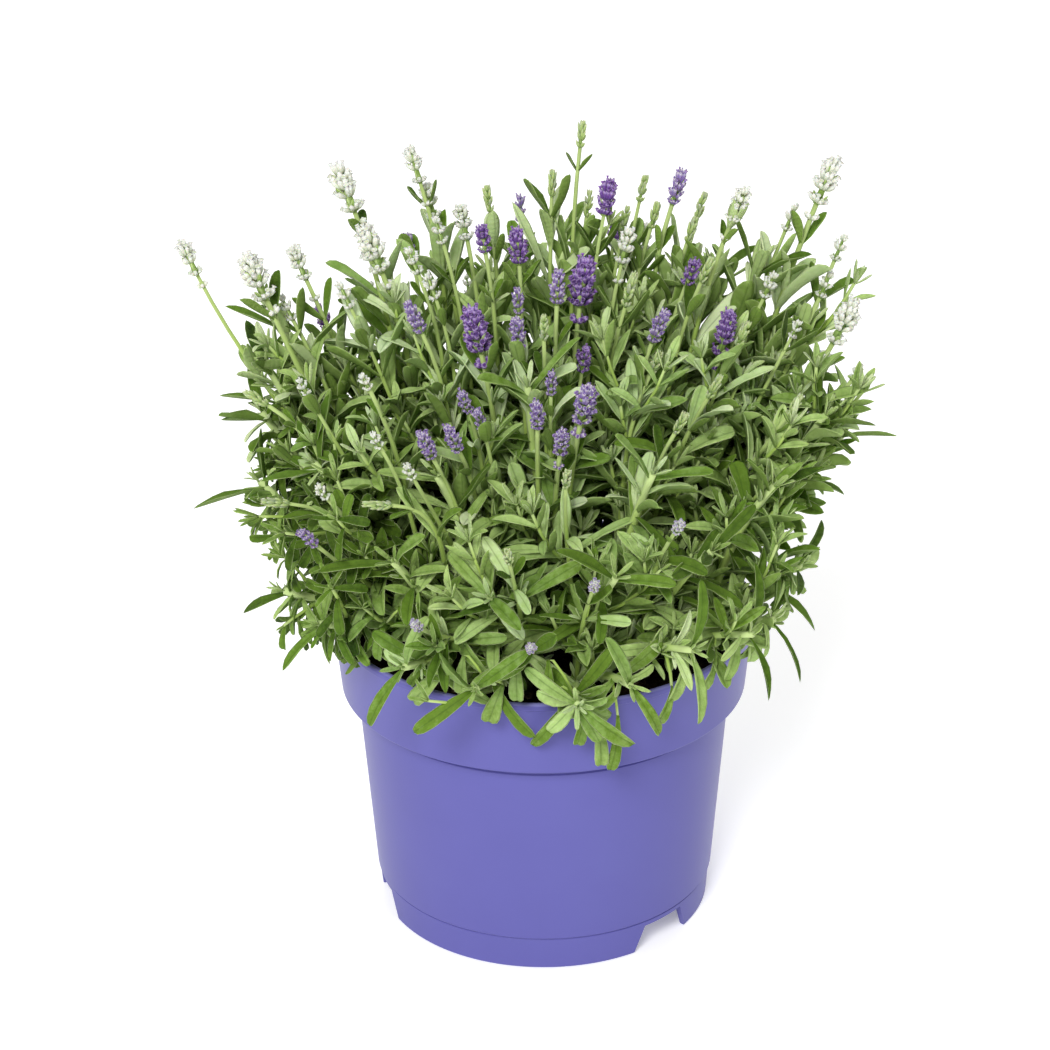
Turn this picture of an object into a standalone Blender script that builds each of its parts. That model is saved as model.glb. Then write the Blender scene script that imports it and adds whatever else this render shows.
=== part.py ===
# Potted lavender: a violet-blue nursery pot of compost holding a spreading dome of lavender.
# Leafy stems rise in bunches from woody bases and carry white, violet and purple flower heads.
# Lengths below are millimetres. The origin is the middle of the foot's underside, +Z is up,
# and the front of the pot faces -Y.

import math
import random

import bpy
import bmesh
from mathutils import Vector
from mathutils.bvhtree import BVHTree

MM = 0.001
UP = Vector((0, 0, 1))

# Pot
POT_HEIGHT = 143.0
RIM_RADIUS = 95.0
BAND_RADIUS = 91.0
BAND_BOTTOM = 108.0
BODY_TOP_RADIUS = 83.8
BODY_BOTTOM_RADIUS = 77.2
FOOT_RADIUS = 75.2
FOOT_HEIGHT = 15.5
FOOT_WALL = 2.5
WALL = 1.4
FLOOR_THICKNESS = 2.0
POT_SEGMENTS = 36
NOTCH_ANGLES = (-45.3, 74.7, 194.7)
NOTCH_BOTTOM_WIDTH = 33.0
NOTCH_TOP_WIDTH = 23.0
NOTCH_HEIGHT = 13.0
NOTCH_SPARE = 0.4
NOTCH_REACH = (12.0, 6.0)
DRAIN_HOLES = 6
DRAIN_HOLE_RADIUS = 4.0
DRAIN_CIRCLE = 52.0
DRAIN_SIDES = 8
CUT_SPARE = 2.0
FOOT_LEAN = 1.2
SEAM_HEIGHT = 0.5
SHOULDER_DROP = 3.0
BAND_EDGE = (1.8, 1.0, 1.4)
INNER_SHOULDER = (2.4, 0.4)
LIP_OVERHANG = 0.9
LIP_HEIGHT = 2.8
LIP_SLOPE = 0.6
LIP_ROUND = (0.6, 0.5)
LIP_WIDTH = 2.4

# Soil
SOIL_TOP = 123.0
SOIL_CROWN = 2.0
SOIL_WAVE = 1.6
WAVE_LENGTHS = (13.0, 11.0)
GAP = 0.3
HOLE_ROOM = 1.2
HOLE_TOP = 10.0

# Woody bases, which stand in holes in the soil
BASE_COUNT = 27
BASE_SPREAD = 68.0
BASE_SIDES = 5
BASE_RADIUS = 3.4
BASE_TOP_RADIUS = 2.6
BASE_DEPTH = 17.0
BASE_RISE = 7.0
MOST_STEMS = 7
BASE_PULL = 0.46
CROWDING = 3.0
GOLDEN_ANGLE = math.radians(137.508)

# Stems and leaves
LEAFY_SHARES = (0.0, 0.3, 0.62, 1.0)
BARE_SHARES = (0.0, 0.45, 1.0)
LEAF_SHARES = (0.72, 0.96)
FLOWER_LEAF_SHARES = (0.6,)
STEM_BOTTOM_RADIUS = 1.35
STEM_TOP_RADIUS = 0.85
STEM_SUNK = 3.0
STEM_STEP = 1.4
STEM_LEAVE = 0.36
STEM_ARRIVE = 0.34
STEM_LEAN = 0.35
STEM_PLAY = (2.0, 0.6)
LEVEL_TIP = 142.0
RISE_PER_LEAN = 62.0
STEEPEST = 2.4
LEAF_LENGTH = (26.0, 35.0)
LEAF_WIDTH = (5.4, 6.8)
LEAF_THICKNESS = 0.8
LEAF_LEAN = (44, 74)
TOP_LEAF_LEAN = (30, 56)
TOP_LEAF_SHARE = 0.9
LEAF_SWING = 0.06
LEAF_BEND = (0.04, 0.22)
LEAF_ROOT = 1.5
ROOT_HEIGHT = 1.6
RING_ROOM = 0.08
LONG_LEAF = ((0.42, 0.85), (0.74, 1.0))
SHORT_LEAF = ((0.58, 1.0),)
CLEARANCE = 0.35
ROOM_TRIES = 40
LEAF_TRIES = 10

# Flower heads: length, radius, rings and points of each size
HEADS = {
    "S": (12.5, 3.3, 3, 6),
    "M": (16.5, 4.1, 4, 6),
    "L": (22.0, 6.2, 5, 8),
}

HEAD_SWELL = (0.52, 1.0, 1.0, 0.94, 0.84, 0.7)
HEAD_HOLLOW = 0.66
HEAD_TURN = 0.3
FLORET_LIFT = 0.22
BUD_SWELL = (0.9, 1.0, 0.94, 0.7)
BUD_START = 0.45

# Middles of the flower heads: (right, back, height, size)
WHITE = [
    (-151, 10, 305, "M"), (-122, 0, 300, "L"), (-105, 20, 299, "M"), (-85, 40, 326, "L"),
    (-73, 20, 305, "L"), (-55, 50, 333, "M"), (-49, 52, 316, "M"), (-44, 26, 311, "S"),
    (-55, 10, 303, "S"), (-34, 40, 310, "M"), (-84, 0, 291, "S"),
    (-110, 10, 282, "S"), (-47, 0, 295, "S"), (-100, -50, 271, "S"), (-74, -50, 273, "S"),
    (-69, -70, 255, "S"), (-55, -80, 245, "S"), (-92, -75, 234, "S"), (37, 30, 302, "M"),
    (85, 20, 324, "M"), (109, 40, 311, "S"), (124, 40, 328, "L"), (131, 40, 297, "S"),
    (124, 26, 285, "S"), (99, 20, 287, "S"), (130, 0, 278, "L"), (110, 0, 276, "S"),
    (137, 0, 256, "S"),
]
DEEP_PURPLE = [
    (-10, 20, 306, "M"), (29, 40, 321, "M"), (18, 10, 293, "L"), (-28, -20, 283, "L"),
    (-25, 20, 309, "S"), (18, -20, 269, "S"), (65, 20, 293, "S"), (79, 0, 273, "L"),
]
VIOLET = [
    (-54, -10, 285, "M"), (7, -4, 296, "M"), (-10, 0, 288, "S"), (-10, -20, 281, "M"),
    (50, -10, 280, "M"), (-32, -50, 262, "S"), (-26, -55, 256, "S"), (-37, -60, 250, "M"),
    (-48, -65, 249, "M"), (-2, -55, 258, "M"), (8, -60, 248, "M"), (18, -45, 259, "L"),
    (4, -40, 266, "S"), (60, 50, 322, "M"), (-97, -80, 214, "S"), (-52, -115, 191, "S"),
    (-5, -120, 183, "S"),
]
BUDS = [
    (18, 60, 343, "S"), (5, 50, 324, "S"), (21, 60, 311, "S"), (-23, 50, 317, "S"),
    (45, 60, 318, "S"), (37, 50, 307, "S"), (50, 50, 309, "S"), (71, 60, 310, "S"),
    (66, 42, 305, "S"), (38, 0, 293, "M"), (1, -24, 285, "S"), (48, -30, 271, "S"),
    (71, 10, 298, "S"), (73, -30, 260, "S"), (58, -50, 252, "S"), (86, -10, 276, "S"),
    (-121, -30, 256, "S"), (-112, -60, 221, "S"), (-68, -85, 231, "S"), (10, -80, 240, "S"),
    (56, -95, 226, "S"), (-14, -110, 219, "S"), (21, -115, 209, "S"), (107, -30, 251, "S"),
]
# The far side of the plant, by a rule: kinds in turn round the back, from BACK_ARC's first
# degrees over its span, lower the further out
BACK_KINDS = ("white", "violet", "bud", "white", "deep_purple", "bud", "violet")
BACK_COUNT = 12
BACK_ARC = (18, 144)
BACK_REACH = (88, 122)
BACK_TOP = 318
BACK_SLOPE = (60, 0.9)
BACK_RISE = (-14, 14)

# Tips of the leafy stems: (right, back, height)
LEAFY_TIPS = [
    (-122, -20, 213), (-110, -56, 178), (-94, -76, 172), (-122, 2, 236), (-114, 12, 276),
    (-120, 8, 256), (134, 12, 222), (122, -14, 240), (110, -50, 186), (98, -66, 168),
    (88, -80, 168), (14, -112, 152), (-28, -112, 160), (-58, -104, 166), (36, -110, 160),
    (62, -98, 170), (76, 36, 288), (96, 34, 292), (10, 52, 300), (-62, -86, 206),
    (-22, -100, 196), (30, -98, 204), (70, -82, 208), (98, -48, 222), (-96, -44, 232),
    (-44, -58, 232), (46, -66, 236), (-6, -34, 262),
]
# Rings of leafy tips round the far side: (count, reach, height, first and last degrees)
RINGS = (
    (8, 107.0, 182.0, 20.0, 160.0),
    (6, 106.0, 232.0, 26.0, 154.0),
    (4, 70.0, 272.0, 34.0, 146.0),
)
RING_OUT = (-6, 8)
RING_RISE = (-10, 10)


def hex_colour(text):
    """The linear colour of an sRGB hex value."""
    values = [int(text[i : i + 2], 16) / 255 for i in (0, 2, 4)]
    return [v / 12.92 if v <= 0.04045 else ((v + 0.055) / 1.055) ** 2.4 for v in values] + [1.0]


def material(name, colour, roughness):
    made = bpy.data.materials.new(name)
    made.use_nodes = True
    shader = made.node_tree.nodes["Principled BSDF"]
    shader.inputs["Base Color"].default_value = hex_colour(colour)
    shader.inputs["Roughness"].default_value = roughness
    shader.inputs["Metallic"].default_value = 0.0
    return made


def mesh_object(name, shape, finish=None):
    """An object from (points in mm, faces)."""
    points, faces = shape
    mesh = bpy.data.meshes.new(name)
    mesh.from_pydata([Vector(p) * MM for p in points], [], faces)
    made = bpy.data.objects.new(name, mesh)
    bpy.context.scene.collection.objects.link(made)
    if finish:
        mesh.materials.append(finish)
    return made


def turned(name, profile, segments, finish):
    """A closed body from a profile of (radius, height) that starts and ends on the axis."""
    bm = bmesh.new()
    points = [bm.verts.new((r * MM, 0, z * MM)) for r, z in profile]
    edges = [bm.edges.new(pair) for pair in zip(points, points[1:])]
    bmesh.ops.spin(
        bm, geom=points + edges, cent=(0, 0, 0), axis=(0, 0, 1),
        angle=2 * math.pi, steps=segments, use_merge=True,
    )
    bmesh.ops.remove_doubles(bm, verts=bm.verts, dist=1e-6)
    bmesh.ops.recalc_face_normals(bm, faces=bm.faces)
    mesh = bpy.data.meshes.new(name)
    bm.to_mesh(mesh)
    bm.free()
    mesh.materials.append(finish)
    made = bpy.data.objects.new(name, mesh)
    bpy.context.scene.collection.objects.link(made)
    return made


def combine(target, others, operation):
    """One applied Boolean of the target with every other object, which is then removed."""
    group = bpy.data.collections.new(target.name + " parts")
    bpy.context.scene.collection.children.link(group)
    for other in others:
        bpy.context.scene.collection.objects.unlink(other)
        group.objects.link(other)
    boolean = target.modifiers.new("Combine", "BOOLEAN")
    boolean.operation = operation
    boolean.operand_type = "COLLECTION"
    boolean.collection = group
    boolean.solver = "EXACT" if operation == "DIFFERENCE" else "MANIFOLD"
    graph = bpy.context.evaluated_depsgraph_get()
    mesh = bpy.data.meshes.new_from_object(target.evaluated_get(graph))
    target.modifiers.clear()
    old = target.data
    target.data = mesh
    bpy.data.meshes.remove(old)
    mesh.name = target.name
    if operation == "UNION":
        keep_main_body(mesh)
    for other in others:
        bpy.data.objects.remove(other)
    bpy.data.collections.remove(group)


def keep_main_body(mesh):
    """Keeps the largest closed surface, so a sealed hollow is filled and a loose scrap goes."""
    bm = bmesh.new()
    bm.from_mesh(mesh)
    waiting = set(bm.faces)
    bodies = []
    while waiting:
        edge_faces = [waiting.pop()]
        body = set(edge_faces)
        while edge_faces:
            for edge in edge_faces.pop().edges:
                found = [face for face in edge.link_faces if face in waiting]
                waiting.difference_update(found)
                body.update(found)
                edge_faces += found
        bodies.append(body)
    bodies.sort(key=len)
    for body in bodies[:-1]:
        bmesh.ops.delete(bm, geom=list(body), context="FACES")
    bm.to_mesh(mesh)
    bm.free()


def smooth(thing, degrees):
    thing.data.shade_smooth()
    thing.data.set_sharp_from_angle(angle=math.radians(degrees))


def prism(bottom, top, bottom_radius, top_radius, sides, turn=0.0):
    """An upright prism between two points, as (points, faces)."""
    points = []
    for centre, radius in ((bottom, bottom_radius), (top, top_radius)):
        for k in range(sides):
            angle = turn + 2 * math.pi * k / sides
            points.append(centre + Vector((math.cos(angle), math.sin(angle), 0)) * radius)
    faces = [tuple(reversed(range(sides))), tuple(range(sides, 2 * sides))]
    for k in range(sides):
        n = (k + 1) % sides
        faces.append((k, n, sides + n, sides + k))
    return points, faces


def pot_profile():
    """The pot's outline, from under the floor round the wall to the floor's top."""
    inner_body = BODY_BOTTOM_RADIUS - WALL
    floor_top = FOOT_HEIGHT + FLOOR_THICKNESS
    edge_in, edge_down, edge_up = BAND_EDGE
    inner_up, inner_down = INNER_SHOULDER
    round_in, round_down = LIP_ROUND
    return [
        (0, FOOT_HEIGHT),
        (FOOT_RADIUS - FOOT_WALL, FOOT_HEIGHT),
        (FOOT_RADIUS - FOOT_WALL, 0),
        (FOOT_RADIUS, 0),
        (FOOT_RADIUS + FOOT_LEAN, FOOT_HEIGHT),
        (BODY_BOTTOM_RADIUS, FOOT_HEIGHT + SEAM_HEIGHT),
        (BODY_TOP_RADIUS, BAND_BOTTOM - SHOULDER_DROP),
        (BAND_RADIUS - edge_in, BAND_BOTTOM - edge_down),
        (BAND_RADIUS, BAND_BOTTOM + edge_up),
        (RIM_RADIUS - LIP_OVERHANG, POT_HEIGHT - LIP_HEIGHT - LIP_SLOPE),
        (RIM_RADIUS, POT_HEIGHT - LIP_HEIGHT),
        (RIM_RADIUS, POT_HEIGHT - round_down),
        (RIM_RADIUS - round_in, POT_HEIGHT),
        (RIM_RADIUS - LIP_WIDTH, POT_HEIGHT),
        (BAND_RADIUS - WALL, BAND_BOTTOM + inner_up),
        (BODY_TOP_RADIUS - WALL, BAND_BOTTOM - inner_down),
        (inner_body, floor_top),
        (0, floor_top),
    ]


def pot(finish):
    made = turned("pot", pot_profile(), POT_SEGMENTS, finish)
    cutters = []
    for number, angle in enumerate(NOTCH_ANGLES):
        cutters.append(notch_cutter(f"notch_cutter_{number}", math.radians(angle)))
    for number in range(DRAIN_HOLES):
        angle = math.radians(NOTCH_ANGLES[0]) + 2 * math.pi * number / DRAIN_HOLES
        centre = Vector((math.cos(angle), math.sin(angle), 0)) * DRAIN_CIRCLE
        low = centre + UP * (FOOT_HEIGHT - CUT_SPARE)
        high = centre + UP * (FOOT_HEIGHT + FLOOR_THICKNESS + CUT_SPARE)
        hole = prism(low, high, DRAIN_HOLE_RADIUS, DRAIN_HOLE_RADIUS, DRAIN_SIDES)
        cutters.append(mesh_object(f"drain_cutter_{number}", hole))
    combine(made, cutters, "DIFFERENCE")
    smooth(made, 30)
    return made


def notch_cutter(name, angle):
    """A wedge with sloped sides that opens the foot ring at its lower edge."""
    out = Vector((math.cos(angle), math.sin(angle), 0))
    side = Vector((-out.y, out.x, 0))
    low_half = NOTCH_BOTTOM_WIDTH / 2 + NOTCH_SPARE
    top_half = NOTCH_TOP_WIDTH / 2
    inward, outward_by = NOTCH_REACH
    points = []
    for reach in (FOOT_RADIUS - inward, FOOT_RADIUS + outward_by):
        points += [
            out * reach - side * low_half - UP,
            out * reach + side * low_half - UP,
            out * reach + side * top_half + UP * NOTCH_HEIGHT,
            out * reach - side * top_half + UP * NOTCH_HEIGHT,
        ]
    faces = [(3, 2, 1, 0), (4, 5, 6, 7), (0, 1, 5, 4), (1, 2, 6, 5), (2, 3, 7, 6), (3, 0, 4, 7)]
    return mesh_object(name, (points, faces))


def soil(finish, bases):
    """The compost filling, with its low mounds and a plain hole for each woody base."""
    floor_top = FOOT_HEIGHT + FLOOR_THICKNESS + GAP
    wall = WALL + GAP
    inner_up, inner_down = INNER_SHOULDER
    band_low = BAND_BOTTOM + inner_up
    slope = (RIM_RADIUS - LIP_WIDTH - BAND_RADIUS + WALL) / (POT_HEIGHT - band_low)
    edge = BAND_RADIUS - wall + (SOIL_TOP - band_low) * slope
    profile = [
        (0, floor_top),
        (BODY_BOTTOM_RADIUS - wall, floor_top),
        (BODY_TOP_RADIUS - wall - GAP / 3, BAND_BOTTOM - inner_down + GAP),
        (BAND_RADIUS - wall - GAP * 2 / 3, band_low + GAP),
        (edge, SOIL_TOP),
        (edge * 0.6, SOIL_TOP + SOIL_CROWN / 2),
        (0, SOIL_TOP + SOIL_CROWN),
    ]
    made = turned("soil", profile, POT_SEGMENTS, finish)
    across, back = WAVE_LENGTHS
    for vertex in made.data.vertices:
        x, y, z = vertex.co / MM
        if z > SOIL_TOP - GAP:
            wave = math.sin(x / across) * math.cos(y / back)
            vertex.co.z += SOIL_WAVE * wave * MM
    cutters = []
    radius = BASE_RADIUS + GAP * HOLE_ROOM
    for number, (x, y) in enumerate(bases):
        low = Vector((x, y, SOIL_TOP - BASE_DEPTH))
        high = Vector((x, y, SOIL_TOP + HOLE_TOP))
        cutters.append(mesh_object(f"hole_cutter_{number}", prism(low, high, radius, radius, BASE_SIDES)))
    combine(made, cutters, "DIFFERENCE")
    smooth(made, 40)
    return made


def base_places():
    """Places of the woody bases, in a sunflower spiral over the soil."""
    places = []
    for k in range(BASE_COUNT):
        reach = BASE_SPREAD * math.sqrt((k + 0.5) / BASE_COUNT)
        angle = k * GOLDEN_ANGLE
        places.append((reach * math.cos(angle), reach * math.sin(angle)))
    return places


def frame_along(direction):
    """Two directions square to this one."""
    side = direction.cross(UP)
    if side.length < 0.1:
        side = direction.cross(Vector((0, 1, 0)))
    side.normalize()
    return side, side.cross(direction).normalized()


def curve_point(path, t):
    a, b, c, d = path
    s = 1 - t
    return a * s**3 + b * (3 * s * s * t) + c * (3 * s * t * t) + d * t**3


def curve_direction(path, t):
    a, b, c, d = path
    s = 1 - t
    return ((b - a) * (s * s) + (c - b) * (2 * s * t) + (d - c) * (t * t)).normalized()


def stem_frame(path, t, turn):
    """The stem's direction at a share of its length, with two directions square to it."""
    flat = path[3] - path[0]
    across = Vector((-flat.y, flat.x, 0)).normalized()
    along = curve_direction(path, t)
    rise = across.cross(along).normalized()
    side = along.cross(rise)
    first = side * math.cos(turn) + rise * math.sin(turn)
    return along, first, along.cross(first)


def stem_ring(path, t, turn, grow=0.0):
    """The four corners of the square stem at a share of its length."""
    centre = curve_point(path, t)
    along, first, second = stem_frame(path, t, turn)
    radius = STEM_BOTTOM_RADIUS + (STEM_TOP_RADIUS - STEM_BOTTOM_RADIUS) * t + grow
    corners = ((1, 0), (0, 1), (-1, 0), (0, -1))
    return [centre + (first * a + second * b) * radius for a, b in corners]


def stem_marks(path, stations):
    """Shares of the stem's length where it has a ring; each leaf station has two."""
    shares = {t: None for t in (LEAFY_SHARES if stations else BARE_SHARES)}
    thick = ROOT_HEIGHT / (path[3] - path[0]).length
    for share in stations:
        near = [t for t in shares if abs(t - share) < RING_ROOM and 0 < t < 1]
        for t in near:
            del shares[t]
        shares[share] = share
        shares[share + thick] = None
    return sorted(shares.items())


def stem_shape(path, turn, stations, grow=0.0):
    """A plain square stem, as (points, faces)."""
    marks = stem_marks(path, stations)
    return closed_rings([stem_ring(path, t, turn, grow) for t, station in marks])


def closed_rings(rings, tip=None):
    """Rings of four points joined into one closed body, which a tip point may end."""
    points = [point for ring in rings for point in ring]
    faces = [(3, 2, 1, 0)]
    for k in range(0, len(points) - 4, 4):
        for j in range(4):
            a = k + j
            b = k + (j + 1) % 4
            faces += [(a, b, b + 4), (a, b + 4, a + 4)]
    last = len(points) - 4
    if tip is None:
        faces.append((last, last + 1, last + 2, last + 3))
    else:
        points.append(tip)
        faces += [(last + j, last + (j + 1) % 4, len(points) - 1) for j in range(4)]
    return points, faces


def grown_stem(path, turn, stations, leaves, bud):
    """A square stem whose leaves grow out of its faces and whose bud, if any, ends it.

    leaves maps (share, face) to the leaf's rings and tip.
    """
    marks = stem_marks(path, stations)
    points = []
    for t, station in marks:
        points += stem_ring(path, t, turn)
    faces = [(3, 2, 1, 0)]
    for k, (t, station) in enumerate(marks[:-1]):
        for j in range(4):
            a = 4 * k + j
            b = 4 * k + (j + 1) % 4
            leaf = leaves.get((station, j)) if station is not None else None
            if leaf is None:
                faces += [(a, b, b + 4), (a, b + 4, a + 4)]
            else:
                add_leaf(points, faces, (a, b, b + 4, a + 4), leaf)
    last = 4 * (len(marks) - 1)
    ring = [last, last + 1, last + 2, last + 3]
    if bud:
        add_bud(points, faces, ring, path, turn, bud)
    else:
        faces.append(tuple(ring))
    return points, faces


def add_leaf(points, faces, root, leaf):
    """Grows one blade from the four points of a stem's face."""
    rings, tip = leaf
    below = list(root)
    for ring in rings:
        above = list(range(len(points), len(points) + 4))
        points += ring
        for j in range(4):
            n = (j + 1) % 4
            faces += [(below[j], below[n], above[n]), (below[j], above[n], above[j])]
        below = above
    points.append(tip)
    faces += [(below[j], below[(j + 1) % 4], len(points) - 1) for j in range(4)]


def add_bud(points, faces, ring, path, turn, size):
    """Whorls of four calyces on a stem's end, each whorl turned over the hollows below."""
    length, radius = HEADS[size][:2]
    along, first, second = stem_frame(path, 1.0, turn)
    base = path[3]
    below = ring
    spacing = length / (len(BUD_SWELL) + 0.5)
    for k, swell in enumerate(BUD_SWELL):
        above = list(range(len(points), len(points) + 4))
        centre = base + along * spacing * (k + BUD_START)
        for j in range(4):
            angle = math.pi / 2 * j + math.pi / 4 * (k + 1)
            spoke = first * math.cos(angle) + second * math.sin(angle)
            points.append(centre + spoke * radius * swell)
        for j in range(4):
            n = (j + 1) % 4
            faces += [(below[j], below[n], above[j]), (above[j], below[n], above[n])]
        below = above
    points.append(base + along * length)
    faces += [(below[j], below[(j + 1) % 4], len(points) - 1) for j in range(4)]


def head_shape(base, along, size, grow=0.0):
    """A spike of whorls: each ring's florets stand over the hollows of the ring below."""
    length, radius, rings, florets = HEADS[size]
    side, rise = frame_along(along)
    points = []
    spacing = length / (rings + 0.6)
    for k in range(rings + 1):
        height = spacing * k
        for j in range(florets):
            angle = 2 * math.pi * j / florets + HEAD_TURN
            outer = (j + k) % 2 == 0
            reach = (radius + grow) * HEAD_SWELL[k] * (1.0 if outer else HEAD_HOLLOW)
            lift = height + (spacing * FLORET_LIFT if outer and k else 0.0)
            spoke = side * math.cos(angle) + rise * math.sin(angle)
            points.append(base + along * lift + spoke * reach)
    tip = len(points)
    points.append(base + along * (length + grow))
    faces = [tuple(reversed(range(florets)))]
    for k in range(rings):
        for j in range(florets):
            a = k * florets + j
            b = k * florets + (j + 1) % florets
            if (j + k) % 2 == 0:
                faces += [(a, b, a + florets), (b, b + florets, a + florets)]
            else:
                faces += [(a, b, b + florets), (a, b + florets, a + florets)]
    for j in range(florets):
        faces.append((rings * florets + j, rings * florets + (j + 1) % florets, tip))
    return outward((points, faces))


def leaf_rings(joint, side, along, length, width, bend, long, grow=0.0):
    """The sections and the tip of a narrow blade that bends back as it goes out."""
    face_up = along.cross(side)
    half = width / 2 + grow
    thick = LEAF_THICKNESS / 2 + grow
    rings = []
    for t, share in LONG_LEAF if long else SHORT_LEAF:
        centre = joint + along * (length * t) - face_up * (bend * t * t * length)
        rings.append(
            [
                centre - side * half * share - face_up * thick,
                centre + side * half * share - face_up * thick,
                centre + side * half * share + face_up * thick,
                centre - side * half * share + face_up * thick,
            ]
        )
    return rings, joint + along * (length + grow) - face_up * (bend * length)


def outward(shape):
    """The same closed shape with its faces pointing out."""
    points, faces = shape
    volume = 0.0
    middle = sum(points, Vector()) / len(points)
    for face in faces:
        a = points[face[0]] - middle
        for k in range(1, len(face) - 1):
            volume += a.dot((points[face[k]] - middle).cross(points[face[k + 1]] - middle))
    if volume < 0:
        faces = [tuple(reversed(face)) for face in faces]
    return points, faces


class Room:
    """What is already placed, to test whether a new shape would cross it."""

    def __init__(self):
        self.placed = []

    def add(self, shape, bunch=None, stem=None):
        points, faces = shape
        low = Vector([min(p[i] for p in points) for i in range(3)])
        high = Vector([max(p[i] for p in points) for i in range(3)])
        tree = BVHTree.FromPolygons(points, faces)
        self.placed.append((bunch, stem, low, high, tree))

    def free(self, shape, bunch=-1, stem=-1):
        """Whether it crosses nothing but the stems of its own bunch, or its own stem."""
        points, faces = shape
        low = [min(p[i] for p in points) for i in range(3)]
        high = [max(p[i] for p in points) for i in range(3)]
        tree = None
        for other_bunch, other_stem, other_low, other_high, other_tree in self.placed:
            if other_bunch == bunch or other_stem == stem:
                continue
            if any(low[i] > other_high[i] or high[i] < other_low[i] for i in range(3)):
                continue
            if tree is None:
                tree = BVHTree.FromPolygons(points, faces)
            if tree.overlap(other_tree):
                return False
        return True


def flower_plan():
    """Every flower head as (kind, middle, size), those on the far side by a rule."""
    plan = []
    named = (("white", WHITE), ("deep_purple", DEEP_PURPLE), ("violet", VIOLET), ("bud", BUDS))
    for kind, rows in named:
        plan += [(kind, Vector((x, y, z)), size) for x, y, z, size in rows]
    chance = random.Random(11)
    first, span = BACK_ARC
    near, fall = BACK_SLOPE
    for k in range(BACK_COUNT):
        angle = math.radians(first + span * (k + 0.5) / BACK_COUNT)
        reach = chance.uniform(*BACK_REACH)
        height = BACK_TOP - (reach - near) * fall + chance.uniform(*BACK_RISE)
        middle = Vector((reach * math.cos(angle), reach * math.sin(angle), height))
        plan.append((BACK_KINDS[k % len(BACK_KINDS)], middle, "S"))
    return plan


def leafy_plan():
    """Tips of the leafy stems: the shown ones, then rings round the far side."""
    plan = [Vector(tip) for tip in LEAFY_TIPS]
    chance = random.Random(23)
    for count, reach, height, first, last in RINGS:
        for k in range(count):
            angle = math.radians(first + (last - first) * k / (count - 1))
            out = reach + chance.uniform(*RING_OUT)
            rise = height + chance.uniform(*RING_RISE)
            plan.append(Vector((out * math.cos(angle), out * math.sin(angle), rise)))
    return plan


def nearest_base(tip, bases, counts):
    """The woody base that a stem grows from: near its tip, and not yet full."""

    def distance(k):
        x, y = bases[k]
        return math.hypot(tip.x * BASE_PULL - x, tip.y * BASE_PULL - y) + CROWDING * counts[k]

    return min((k for k in range(len(bases)) if counts[k] < MOST_STEMS), key=distance)


def tip_direction(tip):
    """Stems lean out more, the lower their tips are."""
    flat = Vector((tip.x, tip.y, 0))
    out = flat / max(flat.length, 60.0)
    steep = (tip.z - LEVEL_TIP) / RISE_PER_LEAN
    return (out + UP * min(max(steep, 0.0), STEEPEST)).normalized()


def stem_path(base, tip, spread, chance):
    """A curve from the woody base to the tip, with some play in its middle."""
    x, y = base
    start = Vector((x, y, SOIL_TOP + BASE_RISE - STEM_SUNK))
    flat = Vector((tip.x - x, tip.y - y, 0))
    start += flat / max(flat.length, 20.0) * STEM_STEP
    reach = (tip - start).length
    leave = (UP + flat / max(flat.length, 30.0) * STEM_LEAN).normalized()
    play = Vector((chance.uniform(-1, 1), chance.uniform(-1, 1), chance.uniform(-0.3, 1)))
    more = Vector((chance.uniform(-1, 1), chance.uniform(-1, 1), chance.uniform(-0.3, 1)))
    first = start + leave * reach * STEM_LEAVE + play * spread
    second = tip - tip_direction(tip) * reach * STEM_ARRIVE + more * spread
    return start, first, second, tip


def place_stems(room, bases):
    """Every stem with its flower head, each bent clear of those before it."""
    chance = random.Random(5)
    counts = [0] * len(bases)
    bunches = {}
    heads = []
    stems = 0
    plan = flower_plan() + [("leafy", tip, None) for tip in leafy_plan()]
    for kind, middle, size in plan:
        base = nearest_base(middle, bases, counts)
        counts[base] += 1
        along = tip_direction(middle)
        apart = kind in ("white", "deep_purple", "violet") and size in ("M", "L")
        end = middle - along * HEADS[size][0] / 2 if size else middle
        turn = chance.uniform(0, math.pi)
        stations = leaf_stations(kind, stems)
        least, more = STEM_PLAY
        for attempt in range(ROOM_TRIES):
            path = stem_path(bases[base], end, least + attempt * more, chance)
            if not room.free(stem_shape(path, turn, stations, CLEARANCE), bunch=base):
                continue
            if size and not room.free(head_shape(end, along, size, CLEARANCE)):
                continue
            break
        else:
            print("no room for a stem", kind, tuple(round(v) for v in middle))
            counts[base] -= 1
            continue
        if apart:
            path = path[:3] + (end - along * GAP,)
        room.add(stem_shape(path, turn, stations), base, stems)
        bud = size if size and not apart else None
        bunches.setdefault(base, []).append((stations, path, turn, bud, stems))
        stems += 1
        if size:
            head = head_shape(end, along, size)
            room.add(head)
            if apart:
                heads.append((f"bloom_{kind}_{len(heads) + 1:02d}", kind, head))
    return bunches, heads


def leaf_stations(kind, number):
    """Where the leaf pairs grow along a stem, as shares of its length."""
    if kind == "leafy":
        return LEAF_SHARES
    return FLOWER_LEAF_SHARES if number % 4 == 0 else ()


def place_leaves(room, bunches):
    """Leaves in opposite pairs, each pair square to the one below it."""
    chance = random.Random(17)
    shapes = {}
    for base in sorted(bunches):
        shapes[base] = []
        for stations, path, turn, bud, number in bunches[base]:
            leaves = {}
            for k, t in enumerate(stations):
                for face in (k % 2, k % 2 + 2):
                    leaf = place_leaf(room, number, path, t, turn, face, chance)
                    if leaf:
                        leaves[(t, face)] = leaf
            shapes[base].append(grown_stem(path, turn, stations, leaves, bud))
    return shapes


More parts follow.
